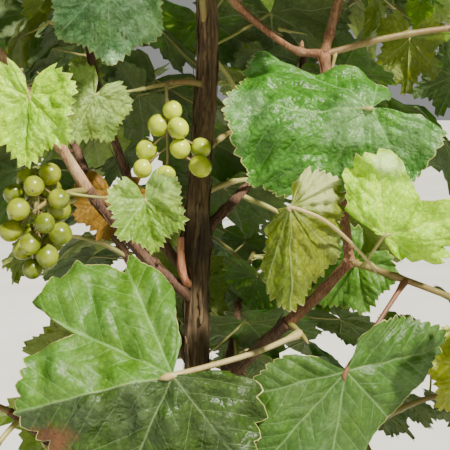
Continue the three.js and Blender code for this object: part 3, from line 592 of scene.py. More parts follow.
def ring_faces(rings, around):
    """The quads between rings of points, and the two ends as fans on their last two points."""
    k, j = np.meshgrid(np.arange(rings - 1), np.arange(around), indexing="ij")
    a, b = k * around + j, k * around + (j + 1) % around
    quads = np.stack([a, b, b + around, a + around], axis=-1).reshape(-1, 4)
    first = rings * around
    j, last = np.arange(around), first - around
    start = np.stack([np.full(around, first), (j + 1) % around, j], axis=-1)
    end = np.stack([np.full(around, first + 1), last + j, last + (j + 1) % around], axis=-1)
    return quads, np.concatenate([start, end])


def add_rings(batch, skin, ends, slot=0, inward=False):
    """A closed solid of rings of points, shape (rings, around, 3), with a point at each end."""
    faces = ring_faces(*skin.shape[:2])
    points = np.concatenate([skin.reshape(-1, 3), ends])
    batch.add(points, [corners[:, ::-1] if inward else corners for corners in faces], slot)


def add_tube(batch, line, radii, around, slot=0):
    """A closed tube; radii is one per point, or one per point and side."""
    points, side, other = frames_along(line)
    radii = np.asarray(radii, float)
    _, cos, sin = circle(around)
    ring = side[:, None] * cos[:, None] + other[:, None] * sin[:, None]
    skin = points[:, None] + ring * (radii if radii.ndim > 1 else radii[:, None])[:, :, None]
    add_rings(batch, skin, points[[0, -1]], slot)


# Leaves

UV_NAME = "Veins"
MAIN_VEINS = (0, 50, 104)
VEIN_SLOPE = 1 / math.tan(math.radians(47))
VEIN_CURVE = 0.25
VEIN_GAP = 0.135
# How deep a vein's foot is sunk in the blade, in mm, so that it never parts from it. Side veins lie on it.
VEIN_SUNK, SIDE_VEIN_SUNK = 0.12, -0.1
BLADE_HALF = 0.0035
EDGE_BULGE, OWN_BULGE = (0.03, 0.06, 0.03, 0.06, 0.1), 0.02
SMOOTH_STOPS = (0.33, 0.67)
PLEAT_DEGREES = 17
# The waves of a crumpled blade, from broad to fine: length and height, as shares of the leaf's length.
CRUMPLES = ((0.52, 0.011), (0.36, 0.009), (0.25, 0.0065), (0.18, 0.0045))


def key_reaches(leaf, side):
    """How far each key point of half a leaf's outline reaches, as a share of its length."""
    if leaf.get("lobes"):
        return leaf["lobes"][side]
    return [mix(shallow, deep, leaf["cut"]) for shallow, deep in zip(SHALLOW, DEEP)]


def polar(angle, reach):
    """Across and ahead, of an angle from the midrib and a reach from the joint."""
    return np.array([reach * math.sin(math.radians(angle)), reach * math.cos(math.radians(angle))])


def outward_of(chord, place):
    """Square to a stretch of the edge, away from the joint, and as long as the stretch."""
    out = np.array([chord[1], -chord[0]])
    return out * (np.sign(out.dot(place)) or 1)


def toothed_half(leaf, side, draw, tooth, depth, split):
    """Half of the toothed edge, from the tip round to the notch at the stalk: degrees, and reaches."""
    wide, own = leaf["open"][side], leaf.get("edges", (None, None))[side]
    toothed, keys = own or ((0, 180), [(a * wide, r) for a, r in zip(KEY_ANGLES, key_reaches(leaf, side))])
    place = [polar(*key) for key in keys]
    points = [place[0]]
    for k, (a, b) in enumerate(zip(place, place[1:])):
        chord = b - a
        length = np.linalg.norm(chord)
        out = outward_of(chord, a + b) / length
        count = max(1 if own else 2, round(length / tooth))
        bulge = OWN_BULGE if own else EDGE_BULGE[k]
        stops = np.cumsum([0] + [mix(0.55, 1.45, draw()) for _ in range(count)])
        stops = stops / stops[-1]
        from_lobe = keys[k][1] > keys[k + 1][1]
        if not toothed[0] <= keys[k][0] < toothed[1]:
            stops = []
            points += [a + chord * t + out * (4 * bulge * length * t * (1 - t)) for t in SMOOTH_STOPS]
        for start, end in zip(stops, stops[1:]):
            height = depth * (end - start) * length * mix(0.5, 1.5, draw())
            low, high = (0.3, 0.56) if from_lobe else (0.7, 0.44)
            for share, rise in sorted([(low, -0.4 * height), (high, 0.6 * height)]):
                t = mix(start, end, share)
                points.append(a + chord * t + out * (4 * bulge * length * t * (1 - t) + rise))
        points.append(b)
    end = polar(min(keys[-1][0] + 12, 174), 0.55 * keys[-1][1])
    points += [(points[-1] + end) / 2, end]
    fine = [points[0]]
    for a, b in zip(points, points[1:]):
        out = outward_of(b - a, a + b)
        for t in np.linspace(0, 1, split + 2)[1:]:
            fine.append(a + (b - a) * t + out * (0.32 * t * (1 - t)))
    angles = np.degrees([math.atan2(p[0], p[1]) for p in fine])
    for k in range(1, len(angles)):
        angles[k] = max(angles[k], angles[k - 1] + 0.2)
    return angles, np.array([np.hypot(*p) for p in fine])


def in_space(leaf, across, ahead, up):
    """Places in a leaf's own frame, as shares of its length, as points in space."""
    x, y, z = array_of(leaf_axes(leaf))
    place = (across[..., None] * x + ahead[..., None] * y + up[..., None] * z) * leaf["length"]
    return place + array_of([leaf["joint"]])[0]


def vein_map(angle, reach, main):
    """Place among the side veins of a main vein: how many gaps along, and the distance from the main vein."""
    off = np.radians(angle - main)
    across, ahead = reach * np.sin(off), reach * np.cos(off)
    begin = ahead - np.abs(across) * VEIN_SLOPE - VEIN_CURVE * across * across
    return begin / VEIN_GAP + np.where(across > 0, 0.5, 0), np.abs(across)


class Blade:
    """A leaf's blade as a grid from the joint out to the toothed edge."""

    def __init__(self, leaf, rings, split, blister, tooth, depth=0.5, pleat=0.008, margin=0, crumple=1):
        draw = seeded(leaf["seed"] * 613 + 5)
        left, left_reach = toothed_half(leaf, 0, draw, tooth, depth, split)
        right, right_reach = toothed_half(leaf, 1, draw, tooth, depth, split)
        self.leaf, self.blister, self.pleat, self.margin, self.crumple = leaf, blister, pleat, margin, crumple
        self.origin = array_of([leaf["joint"]])[0]
        self.angles = np.concatenate([-left[:0:-1], right])
        self.edge = np.concatenate([left_reach[:0:-1], right_reach])
        smooth = np.convolve(np.pad(self.edge, 3, mode="edge"), np.array([1, 2, 3, 4, 3, 2, 1]) / 16, "valid")
        shares = np.linspace(0, 1, rings)[1:, None] ** 0.85
        rows = [np.minimum(shares * smooth, self.edge * (0.3 + 0.66 * shares**0.5))]
        self.reach = np.vstack(rows + [self.edge - margin] * (margin > 0) + [self.edge])
        self.ripple = draw() * TAU
        self.waves = [(*wave, draw() * TAU, draw() * TAU) for wave in CRUMPLES for _ in range(3)]
        turn = np.radians(self.angles)
        x, y, z = blade_up(leaf, self.reach * np.sin(turn), self.reach * np.cos(turn), turn, self.reach)
        place = in_space(leaf, x, y, z + self.relief())
        start = np.broadcast_to(self.origin, (1, *place.shape[1:]))
        outward = np.gradient(np.concatenate([start, place]), axis=0)[1:]
        self.normal = unit(np.cross(np.gradient(place, axis=1), outward))
        half = leaf["length"] * BLADE_HALF * (1 - 0.5 * (self.reach / self.reach.max()) ** 2)
        half[-1] = half[:, 0] = half[:, -1] = 0
        self.top, self.under = place + self.normal * half[..., None], place - self.normal * half[..., None]

    def mains(self):
        """The angles of the main veins, the midrib first. A half that is drawn in takes its own along."""
        left, right = self.leaf["open"]
        pairs = [(-main * left, main * right) for main in MAIN_VEINS[1:]]
        return self.leaf.get("veins") or [0, *itertools.chain(*pairs)]

    def nearest_vein(self, angle):
        """The main vein whose ground an angle is in."""
        own = self.leaf.get("veins")
        if own:
            return np.array(own, float)[np.abs(np.asarray(angle)[..., None] - own).argmin(-1)]
        wide = np.where(angle < 0, *self.leaf["open"])
        size = np.abs(angle) / wide
        main = np.where(size < KEY_ANGLES[1], 0, np.where(size < KEY_ANGLES[3], MAIN_VEINS[1], MAIN_VEINS[2]))
        return main * np.sign(angle) * wide

    def relief(self):
        """Cushions between the sunk veins, pleats along them, a ripple at the edge, and crumples."""
        gaps, off = vein_map(self.angles, self.reach, self.nearest_vein(self.angles))
        inside = self.reach / self.edge
        cushion = np.sin(np.pi * gaps) ** 2 * np.clip(off / 0.06, 0, 1)
        trough = -np.exp(-((off / 0.035) ** 2)) * (1 - 0.7 * inside)
        veined = self.blister * (cushion + 0.8 * trough) * (np.clip(self.reach / 0.2, 0, 1) * (1 - inside**4))
        fan = 0.02 * np.clip(off / 0.16, 0, 1) ** 0.7 * (1 - inside**3)
        ripple = 0.018 * self.crumple * inside**4 * np.sin(np.radians(self.angles * 11) + self.ripple)
        drift = self.angles + 5 * np.sin(np.radians(self.angles * 3) + self.ripple)
        pleats = self.pleat * np.cos(TAU * drift / PLEAT_DEGREES + self.ripple) * inside
        x, y = self.reach * np.sin(np.radians(self.angles)), self.reach * np.cos(np.radians(self.angles))
        waves = sum(
            height * np.sin((x * math.cos(way) + y * math.sin(way)) * TAU / length + phase)
            for length, height, way, phase in self.waves
        )
        return veined + fan + ripple + pleats + waves * self.crumple * np.clip(self.reach / 0.25, 0, 1)

    def add_to(self, batch, top_slots, under_slots):
        """Adds the blade, with a slot for each half of its upper side and of its underside."""
        rings, columns = self.reach.shape
        inner = self.under[:-1, 1:-1]
        points = np.concatenate([self.origin[None], self.top.reshape(-1, 3), inner.reshape(-1, 3)])
        top = 1 + np.arange(rings * columns).reshape(rings, columns)
        under = top.copy()
        under[:-1, 1:-1] = 1 + rings * columns + np.arange(inner.size // 3).reshape(inner.shape[:2])
        middle = (self.angles[:-1] + self.angles[1:]) / 2
        main = self.nearest_vein(middle)

        def place_of(angle, reach):
            return np.stack(vein_map(angle, reach, main), axis=-1)

        corners = [
            (slice(k, rings - 1 + k), slice(j, columns - 1 + j)) for k, j in ((0, 0), (0, 1), (1, 1), (1, 0))
        ]
        quad_uv = np.stack([place_of(self.angles[at[1]], self.reach[at]) for at in corners], axis=2)
        fan_uv = np.stack([
            place_of(middle, np.zeros(columns - 1)), place_of(self.angles[1:], self.reach[0, 1:]),
            place_of(self.angles[:-1], self.reach[0, :-1]),
        ], axis=1)
        faces, uvs, slots = [], [], []
        for grid, halves, way in ((top, top_slots, 1), (under, under_slots, -1)):
            quads = np.stack([grid[at] for at in corners], axis=-1)
            fan = np.stack([np.zeros(columns - 1, int), grid[0, 1:], grid[0, :-1]], axis=-1)
            slot = np.where(middle < 0, *halves)
            quad_slots = np.tile(slot, (rings - 1, 1))
            if self.margin:
                quad_slots[-1] = MARGIN_SLOT
            faces += [quads[..., ::way].reshape(-1, 4), fan[:, ::way]]
            uvs += [quad_uv[:, :, ::way], fan_uv[:, ::way]]
            slots += [quad_slots.ravel(), slot]
        sharp = np.zeros(len(points), bool)
        sharp[0] = sharp[top[-1]] = sharp[top[:, 0]] = sharp[top[:, -1]] = True
        batch.add(points, faces, slots, uvs, sharp)

    def read(self, grid, angle, reach):
        """A point of the grid's surface at an angle and a reach, between its corners."""
        c = float(np.interp(angle, self.angles, np.arange(len(self.angles))))
        j = min(int(c), len(self.angles) - 2)
        f = c - j
        levels = np.concatenate([[0], self.reach[:, j] * (1 - f) + self.reach[:, j + 1] * f])
        line = np.vstack([self.origin, grid[:, j] * (1 - f) + grid[:, j + 1] * f])
        return np.array([np.interp(reach, levels, line[:, i]) for i in range(3)])

    def add_rib(self, batch, path, widths, side, height, sunk=VEIN_SUNK):
        """A vein along a path of (angle, reach): a low ridge on one side of the blade."""
        grid = self.top if side > 0 else self.under
        line, lift = (np.array([self.read(on, *at) for at in path]) for on in (grid, self.normal))
        lift[0] = lift[1]
        lift = unit(lift) * side
        across = unit(np.cross(np.gradient(line, axis=0), lift)) * widths[:, None]
        foot = line - lift * sunk
        points = np.concatenate([foot - across, line + lift * (widths * height)[:, None], foot + across])
        n = len(line)
        k = np.arange(n - 1)
        sides = ((0, n), (n, 2 * n), (2 * n, 0))
        quads = [np.stack([a + k, a + k + 1, b + k + 1, b + k], axis=-1) for a, b in sides]
        ends = np.array([[0, n, 2 * n], [n - 1, 3 * n - 1, 2 * n - 1]])
        batch.add(points, [np.concatenate(quads), ends], VEIN_SLOT)

    def add_side_veins(self, batch, main):
        """The side veins of one main vein, to both its sides, out to its neighbours' ground or the edge."""
        for way, first in ((-1, 1), (1, 0.5)):
            for n in range(7):
                begin = (n + first) * VEIN_GAP
                path = []
                for off in np.linspace(0, 0.5, 10):
                    x, y = way * off, begin + off * VEIN_SLOPE + VEIN_CURVE * off * off
                    angle, reach = main + math.degrees(math.atan2(x, y)), math.hypot(x, y)
                    if off and abs(self.nearest_vein(np.array(angle)) - main) > 1:
                        break
                    if reach > 0.93 * float(np.interp(angle, self.angles, self.edge)):
                        break
                    path.append((angle, reach))
                if len(path) > 2:
                    thick = self.leaf["length"] * 0.0022 * np.linspace(1, 0.3, len(path)) + 0.05
                    self.add_rib(batch, path, thick, -1, 0.9, SIDE_VEIN_SUNK)

    def add_veins(self, batch, fine):
        """The main veins, raised on the underside and low on the upper side, and their side veins if fine."""
        for k, main in enumerate(self.mains()):
            j = int(np.argmin(np.abs(self.angles - main)))
            reaches = np.concatenate([[0.015], self.reach[:-1, j], [self.edge[j] * 0.97]])
            reaches = np.unique(np.minimum(reaches, self.edge[j] * 0.97))
            thick = self.leaf["length"] * (0.0052 if k else 0.0062)
            thick = thick * (1 - 0.82 * reaches / self.edge[j]) + 0.07
            path = [(self.angles[j], r) for r in reaches]
            self.add_rib(batch, path, thick, -1, 1.1)
            self.add_rib(batch, path, thick * 0.7, 1, 0.3)
            if fine:
                self.add_side_veins(batch, main)


# Each tint of leaf: its underside, its colour, roughness, crinkle, which also sets the painted shade in its
# hollows, how strong the pale highlight painted on its ridges is, and where one leaf has a patch, the patch's
# middle, inner and outer radius in metres, and colour.
LEAF_LOOKS = {
    "sheen": ("under_green", (0.09, 0.31, 0.03), 0.36, 0.66, 0.45),
    # The blue tint is painted lighter than the leaf's own colour, as sunlight on a leaf that stands in shade.
    "blue": ("under_green", (0.3, 0.64, 0.28), 0.34, 1.0, 0.5),
    "mid": ("under_green", (0.105, 0.28, 0.018), 0.46, 0.32, 0.1),
    "lime": ("under_pale", (0.5, 0.96, 0.004), 0.38, 0.7, 0.18,
             ((0.1245, -0.096, 0.703), 0.006, 0.017, (0.8, 0.95, 0.42))),
    "olive": ("under_pale", (0.17, 0.26, 0.006), 0.46, 0.5, 0.12),
    "yellow": ("under_pale", (0.41, 0.46, 0.01), 0.46, 0.4, 0.15),
    "dark": ("under_green", (0.07, 0.185, 0.02), 0.46, 0.3, 0.12),
    "pale": ("under_green", (0.32, 0.52, 0.1), 0.5, 0.6, 0.25),
    "old": ("old", (0.32, 0.18, 0.01), 0.55, 0.3, 0.05),
    "fresh": ("under_pale", (0.25, 0.46, 0.035), 0.42, 0.5, 0.35),
    # The deep tint is darker than the mid tint: painted shade on the half of a leaf that lies in shade.
    "deep": ("under_green", (0.045, 0.11, 0.008), 0.4, 0.62, 0.14,
             ((-0.087, -0.115, 0.528), 0.008, 0.02, (0.19, 0.06, 0.028))),
    "straw": ("under_pale", (0.21, 0.28, 0.012), 0.46, 0.5, 0.2,
              ((0.082, -0.095, 0.69), 0.012, 0.024, (0.6, 0.66, 0.27))),
}
UNDERSIDES = {
    "under_green": ((0.17, 0.26, 0.1), 0.66, 0.4, 0.1),
    "under_pale": ((0.33, 0.42, 0.12), 0.62, 0.4, 0.1),
}
# Veins and dry margins: their two colours.
LINES = {
    "vein_pale": ((0.27, 0.36, 0.09), (0.42, 0.5, 0.17)),
    "margin_straw": ((0.42, 0.42, 0.1), (0.66, 0.6, 0.27)),
}
LEAF_SLOTS = [*LEAF_LOOKS, *UNDERSIDES, *LINES]
VEIN_SLOT, MARGIN_SLOT = map(LEAF_SLOTS.index, LINES)
# The slots of a leaf's upper side and underside by its tint, and the tints that seeded leaves are dealt.
TINTS = {tint: (LEAF_SLOTS.index(tint), LEAF_SLOTS.index(look[0])) for tint, look in LEAF_LOOKS.items()}
SEEDED_TINTS = (
    "mid", "mid", "lime", "dark", "fresh", "mid", "olive", "yellow", "mid", "fresh", "sheen", "dark",
)


class Crowd:
    """Points already taken, in cells, so that what grows on keeps clear of them."""

    def __init__(self, room):
        self.room, self.cells = room, {}

    def key(self, p):
        return tuple(math.floor(c / self.room) for c in p)

    def add(self, points):
        for p in points:
            self.cells.setdefault(self.key(p), []).append(p)

    def add_leaf(self, leaf):
        self.add(blade_points(leaf, *LEAF_CLOUD))
        self.add(stalk_points(leaf))

    def clear(self, points, room=None):
        room = (room or self.room) ** 2
        for p in points:
            near = itertools.product(*((c - 1, c, c + 1) for c in self.key(p)))
            for q in itertools.chain.from_iterable(self.cells.get(cell, ()) for cell in near):
                if (p[0] - q[0]) ** 2 + (p[1] - q[1]) ** 2 + (p[2] - q[2]) ** 2 < room:
                    return False
        return True


def blade_points(leaf, levels, columns):
    """Points spread over a leaf's blade."""
    angle = np.linspace(-150, 150, columns)
    left, right = (np.interp(np.abs(angle), KEY_ANGLES, key_reaches(leaf, side)) for side in (0, 1))
    reach = np.asarray(levels)[:, None] * np.where(angle < 0, left, right)
    turn = np.radians(angle * np.where(angle < 0, *leaf["open"]))
    place = blade_up(leaf, reach * np.sin(turn), reach * np.cos(turn), turn, reach)
    return in_space(leaf, *place).reshape(-1, 3)


def stalk_points(leaf):
    """Points along a leaf's stalk, away from its foot."""
    count = max(int((leaf["joint"] - leaf["foot"]).length / 5), 2)
    return [tuple(leaf["foot"].lerp(leaf["joint"], (k + 1) / (count + 1))) for k in range(count)]


def free_leaf(draw, crowd, root, forward, side, length, tries):
    """A leaf that finds room at a node within some tries, taken into the crowd, or None."""
    for attempt in range(tries):
        size = length * mix(0.62, 1.1, draw()) * mix(1, 0.6, attempt / tries)
        leaf = grow_leaf(draw, root, forward, side, size)
        points = blade_points(leaf, (1, 0.5), 13)
        room = fits([Vector(p) for p in points]) and crowd.clear(points)
        if room and crowd.clear(stalk_points(leaf)[1:], STALK_ROOM):
            crowd.add_leaf(leaf)
            return leaf
    return None


def grow_sprig(own, crowd, root, bearing, pitch, length, leaf_size, seed):
    """A short side shoot with small leaves, where there is room for it."""
    line = shoot_line(root, bearing, pitch, length, -0.3, TWIG_STEPS)
    ahead = along(line, 8)[2:]
    inside = all(map(inside_crown, line)) and not any(map(in_open_face, line[2:]))
    if not inside or not crowd.clear(ahead, STALK_ROOM):
        return
    draw = seeded(seed)
    leaves = []
    for i in range(SPRIG_LEAVES):
        share = mix(0.45, 1, i / (SPRIG_LEAVES - 1))
        at, forward = point_on(line, share)
        leaf = free_leaf(draw, crowd, at, forward, beside(forward, i % 2 == 0), leaf_size, SPRIG_TRIES)
        if leaf:
            leaves.append(leaf)
            last = share
    if leaves:
        own["sprigs"].append(part_of(line, last))
        own["finer"] += leaves
        crowd.add(ahead)


def grow_finer(built, crowd):
    """Small leaves at the nodes between the source's, and short side shoots on the inner boughs."""
    for name, own in built.items():
        own["finer"], own["sprigs"] = [], []
        *_, leaf_size, nodes, _ = MASSES[name]
        stems = [(part_of(own["line"], own["reach"]), 9, 0.8)]
        stems += [(twig["line"], 5, 0.72) for twig in own["twigs"]]
        for s, (line, count, share) in enumerate(stems if nodes else ()):
            for i in range(count):
                root, forward = point_on(line, (i + 0.7) / count)
                draw = seeded(own["seed"] * 6007 + s * 331 + i * 17 + 5)
                side = beside(forward, i % 2 == 0)
                leaf = free_leaf(draw, crowd, root, forward, side, leaf_size * share, TRIES // 2)
                if leaf:
                    own["finer"].append(leaf)
    for name, boughs in INNER_BOUGHS.items():
        own = built[name]
        for k, (limb, count, leaf_size) in enumerate(boughs):
            line = along(LIMBS[limb][1], 12) if limb else part_of(own["line"], own["reach"])
            for i in range(count):
                root = point_on(line, mix(0.25, 0.98, (i + 0.5) / count))[0]
                draw = seeded(own["seed"] * 877 + k * 71 + i)
                heading = math.degrees(i * GOLDEN_ANGLE) + spread(draw, 40)
                seed = own["seed"] * 53 + k * 97 + i
                grow_sprig(own, crowd, root, heading, spread(draw, 40), mix(40, 90, draw()), leaf_size, seed)


def fill_crowd(built, crowd):
    """Takes in everything that finer growth keeps clear of: the source's leaves, limbs and bunches."""
    crowd.add(blade_points(OLD_LEAF, *LEAF_CLOUD))
    for own in built.values():
        for leaf in source_leaves(own):
            crowd.add_leaf(leaf)
    for _, route, _ in LIMBS.values():
        crowd.add(along(route, max(int(line_length(route) / 5), 2)))
    for _, _, (x, y, z), length, width, _, _ in BUNCHES:
        _, cos, sin = circle(8)
        out = width + LEAF_ROOM
        for k in range(9):
            crowd.add([(x + out * c, y + out * s, z - k * length / 8) for c, s in zip(cos, sin)])


# How far finer growth keeps from what is there, with its leaves and with its stalks and shoots, and the
# points that stand for a leaf: shares of its blade, and columns.
LEAF_ROOM, STALK_ROOM = 7, 4.5
LEAF_CLOUD = ((1, 0.8, 0.6, 0.4, 0.2), 25)
SPRIG_LEAVES, SPRIG_TRIES = 3, 14
# Limbs inside the crown, or the mass's own shoot, with short side shoots, by the mass whose pieces show
# them: the limb, how many side shoots are tried and the size of their leaves.
INNER_BOUGHS = {
    "right_high": (("cane_right_high", 6, 56),),
    "steep": (("trunk", 40, 80), ("cane_steep", 18, 64)),
    "back_left": (("bough_back_left", 14, 70),),
    "back_right": (("bough_back_right", 16, 76),),
    "back_low": (("bough_back_low", 14, 76), (None, 10, 66)),
    "low_left": (("bough_low_left", 8, 64), (None, 10, 66)),
    "low_right": (("bough_low_right", 8, 64), (None, 10, 66)),
    "top_back": (("top_back", 4, 60),),
}
# A spent leaf that hangs behind the bend of the left cane.
OLD_LEAF = {
    "foot": Vector((-50, 17, 679)), "joint": Vector((-62, 8, 673)), "along": Vector((-0.15, -0.1, -1)),
    "face": Vector((0.25, -0.9, 0.2)), "length": 38, "fold": (-14, -10), "droop": 0.1, "curl": 0.1,
    "cut": 0.3, "open": (0.9, 0.9), "phase": 0.4, "tint": "old",
}

masses = grow_masses()
crowd = Crowd(LEAF_ROOM)
fill_crowd(masses, crowd)
grow_finer(masses, crowd)
masses["left_node"]["finer"].append(OLD_LEAF)

# Leaves, shoots and fruit, in groups

# Set leaves longer than this have fine grids, and seeded ones longer than this have a ring more.
FINE_LEAF, BROAD_LEAF = 60, 45
TENDRIL_STEPS = 45
GROUPS = {
    "right": ("low_front", "mid_right", "right_high"),
    "left": ("left_node", "middle", "left_bend", "left_high", "across"),
    "low": ("low_left", "low_right", "back_low", "low_face"),
    "back": ("back_left", "back_right", "steep"),
    "top": ("right_top", "top_back", "top_middle", "top_left", "top_right"),
}


def add_stalk(batch, leaf, blade):
    """A leaf's stalk: thick at its foot, thin along, then run in under the midrib or led in front."""
    foot, joint = leaf["foot"], leaf["joint"]
    _, y, z = leaf_axes(leaf)
    reach = (joint - foot).length
    draw = seeded(leaf["seed"] * 31 + 9)
    bow = (UP.cross(joint - foot).normalized() * spread(draw, 0.03) - UP * 0.02) * reach
    under = Vector(blade.read(blade.under, blade.mains()[0], 0.09)) - z * 0.2
    rise = [foot, foot.lerp(joint, 0.35) + bow, foot.lerp(joint, 0.75) + bow * 0.6, joint - z * 0.35, under]
    if leaf.get("way"):
        way = [Vector(p) for p in leaf["way"]]
        before = (way[-1] - joint).dot(z) > 0
        rise = [foot, *way, *([joint + z * 0.5, joint + z * 0.3 + y * 3] if before else rise[3:])]
    line = along(rise, 19 if leaf.get("way") else 11)
    thin, slot = leaf.get("stalk", (max(leaf["length"] * 0.0125, 0.7), 1))
    share = np.linspace(0, 1, len(line))
    radii = thin * (1 + 0.9 * np.exp(-share * reach / 4) + 0.35 * np.exp(-((share - 0.84) / 0.06) ** 2))
    add_tube(batch, line, radii * np.where(share > 0.86, 1 - (share - 0.86) * 4.2, 1), 6, slot)


def add_shoot(batch, line, radius, node_shares, slot, seed):
    """A green shoot with a swelling at each node and fine grooves along it."""
    length = line_length(line)
    fine = along(line, max(int(length / 2.5), 6))
    share = np.linspace(0, 1, len(fine))
    core = mix(*radius, share)
    core = core + sum(0.32 * core * np.exp(-(((share - s) * length / 2.6) ** 2)) for s in node_shares)
    core[-2:] *= (0.85, 0.4)
    grooves = noise_of(seed, SHOOT_SIDES, 400)
    relief = grooves(np.arange(SHOOT_SIDES)[None], share[:, None] * length / 30) * 0.22
    lean = np.random.default_rng(seed).normal(0, 1, (3, 3))
    bend = np.stack([np.sin(share * np.pi * k) for k in (1, 2, 3)], axis=1) @ lean * 0.25
    add_tube(batch, [p + Vector(b) for p, b in zip(fine, bend)], core[:, None] + relief, SHOOT_SIDES, slot)


def add_tip(batch, line, seed):
    """The soft growing tip of a shoot: a few folded leaflets on the last bend."""
    end, forward = line[-1], (line[-1] - line[-2]).normalized()
    draw = seeded(seed * 77 + 1)
    side = beside(forward, False)
    for k in range(4):
        turn = k * GOLDEN_ANGLE
        lean = (side * math.cos(turn) + forward.cross(side) * math.sin(turn)) * mix(0.35, 0.8, draw())
        leaf = {
            "foot": end, "joint": end + forward * (2 + 1.5 * k), "along": forward + lean,
            "face": forward * 0.8 - lean, "length": mix(7, 12, draw()), "fold": (38, 38), "droop": -0.1,
            "curl": 0, "cut": 0.3, "open": (0.8, 0.8), "phase": draw() * 6, "seed": seed * 11 + k,
        }
        Blade(leaf, 3, 0, 0, 0.3).add_to(batch, *zip(TINTS["lime"], TINTS["lime"]))


def add_tendril(batch, root, way, seed):
    """A tendril that ends in a loose coil."""
    draw = seeded(seed * 51 + 3)
    length, turns, width = mix(30, 48, draw()), mix(1.4, 2.6, draw()), mix(2.4, 3.6, draw())
    way = (way.normalized() + UP * 0.2).normalized()
    side = way.cross(UP).normalized()
    other = way.cross(side)
    line = []
    for t in np.linspace(0, 1, TENDRIL_STEPS + 1).tolist():
        curl = max(t - 0.5, 0) / 0.5
        angle = curl * turns * TAU
        centre = root + way * (length * min(t, 0.55 + 0.25 * t)) - UP * (6 * t * t)
        coil = (side * (1 - math.cos(angle)) + other * math.sin(angle)) * (width * min(curl * 3, 1))
        line.append(centre + coil)
    add_tube(batch, line, np.linspace(0.62, 0.28, len(line)), 5, 1)


def add_tendrils(batch, stem, nodes, seed):
    """Tendrils at every other node of a main shoot, in the crown and out of the photo's gap."""
    for i in range(1, nodes, 2):
        root, forward = point_on(stem, (i + 0.08) / nodes)
        way = beside(forward, False) + Vector((root.x, root.y, 0)).normalized()
        end = root + way.normalized() * 45
        if not in_open_face(root) and fits([end]):
            add_tendril(batch, root, way + forward * 0.4, seed * 20 + i)


def add_berry(batch, centre, radius, on, seed, slot):
    """A grape: a slightly long ball with a dimple at its stalk and a small scar at its tip."""
    draw = seeded(seed * 19 + 7)
    axis = (centre - on).normalized()
    side = axis.cross(Vector((0.3, 1, 0.2))).normalized()
    rings, around = BERRY_GRID
    level = np.linspace(0.12, math.pi - 0.1, rings)[:, None, None]
    turn, cos, sin = circle(around)
    long = mix(1.0, 1.1, draw())
    rise = -radius * long * np.cos(level)
    rise[0] += radius * 0.1
    middle, x, y, z = array_of((centre, side, axis.cross(side), axis))
    lumps = 1 + 0.02 * np.sin(turn * 3 + draw() * 6)[:, None]
    ring = cos[:, None] * x + sin[:, None] * y
    skin = middle + ring * (radius * np.sin(level) ** 0.96) * lumps + z * rise
    ends = middle + np.stack([z * (-radius * long * 0.86), z * radius * long * 0.965])
    add_rings(batch, skin, ends, [slot, np.where(np.arange(2 * around) < around, slot, SCAR_SLOT)])
    start = centre - axis * (radius * long * 0.8)
    stalk = along([on, on.lerp(start, 0.5) + UP * 0.5, start], 6)
    add_tube(batch, stalk, [0.75, 0.62, 0.6, 0.6, 0.7, 1.0, 1.35], 7, BUNCH_STEM_SLOT)


def dress_leaf(leaf, leaves, shoots):
    """A leaf's blade, veins and stalk, by its own look or by its size."""
    leaf.setdefault("tint", SEEDED_TINTS[int(seeded(leaf["seed"] * 7)() * len(SEEDED_TINTS))])
    other = leaf["tint"]
    if "look" in leaf:
        tint, tooth, depth, pleat, radius, stalk_slot, crumple, *rest = leaf["look"]
        leaf.update(tint=tint, stalk=(radius, stalk_slot))
        other = rest[0] if rest else tint
        rings, split = (24, 1) if leaf["length"] > FINE_LEAF else (12, 0)
        blade = Blade(leaf, rings, split, 0.012, tooth, depth, pleat, 0.007, crumple)
    elif leaf["length"] > BROAD_LEAF:
        blade = Blade(leaf, 5, 0, 0.008, 0.165, 0.42)
    else:
        blade = Blade(leaf, 4, 0, 0.006, 0.2, 0.44)
    blade.add_to(leaves, *zip(TINTS[other], TINTS[leaf["tint"]]))
    blade.add_veins(leaves, "look" in leaf)
    add_stalk(shoots, leaf, blade)


def dress_stems(name, leaves, shoots):
    """A mass's main shoot, its twigs and its side shoots, with their growing tips and tendrils."""
    own, nodes = masses[name], MASSES[name][6]
    seed, reach = own["seed"], own["reach"]
    stem = part_of(own["line"], reach)
    shares = [mix(0.16, 1, i / max(nodes - 1, 1)) for i in range(nodes)]
    add_shoot(shoots, stem, SHOOT_RADIUS, [s / reach for s in shares if s <= reach + 1e-6], 0, seed)
    if nodes:
        add_tip(leaves, stem, seed)
        add_tendrils(shoots, stem, nodes, seed)
    for k, twig in enumerate(own["twigs"]):
        add_shoot(shoots, twig["line"], TWIG_RADIUS, [0.4, 0.7, 1], 1, seed * 9 + k)
        add_tip(leaves, twig["line"], seed * 13 + k)
    for k, sprig in enumerate(own["sprigs"]):
        add_shoot(shoots, sprig, TWIG_RADIUS, [0.5, 1], 1, seed * 15 + k)


def build_groups(leaf_materials, shoot_materials):
    """Two pieces for each group of masses: its leaves, and its shoots with the leaves' stalks."""
    seeds = itertools.count(LEAF_SEED)
    for group, names in GROUPS.items():
        leaves, shoots = Batch(), Batch()
        for name in names:
            dress_stems(name, leaves, shoots)
            for leaf in source_leaves(masses[name]) + masses[name]["finer"]:
                leaf.setdefault("seed", next(seeds))
                dress_leaf(leaf, leaves, shoots)
        nodes = ["foliage_" + name for name in names]
        leaves.build("leaves_" + group, leaf_materials, "foliage", nodes)
        shoots.build("shoots_" + group, shoot_materials, "foliage", nodes)


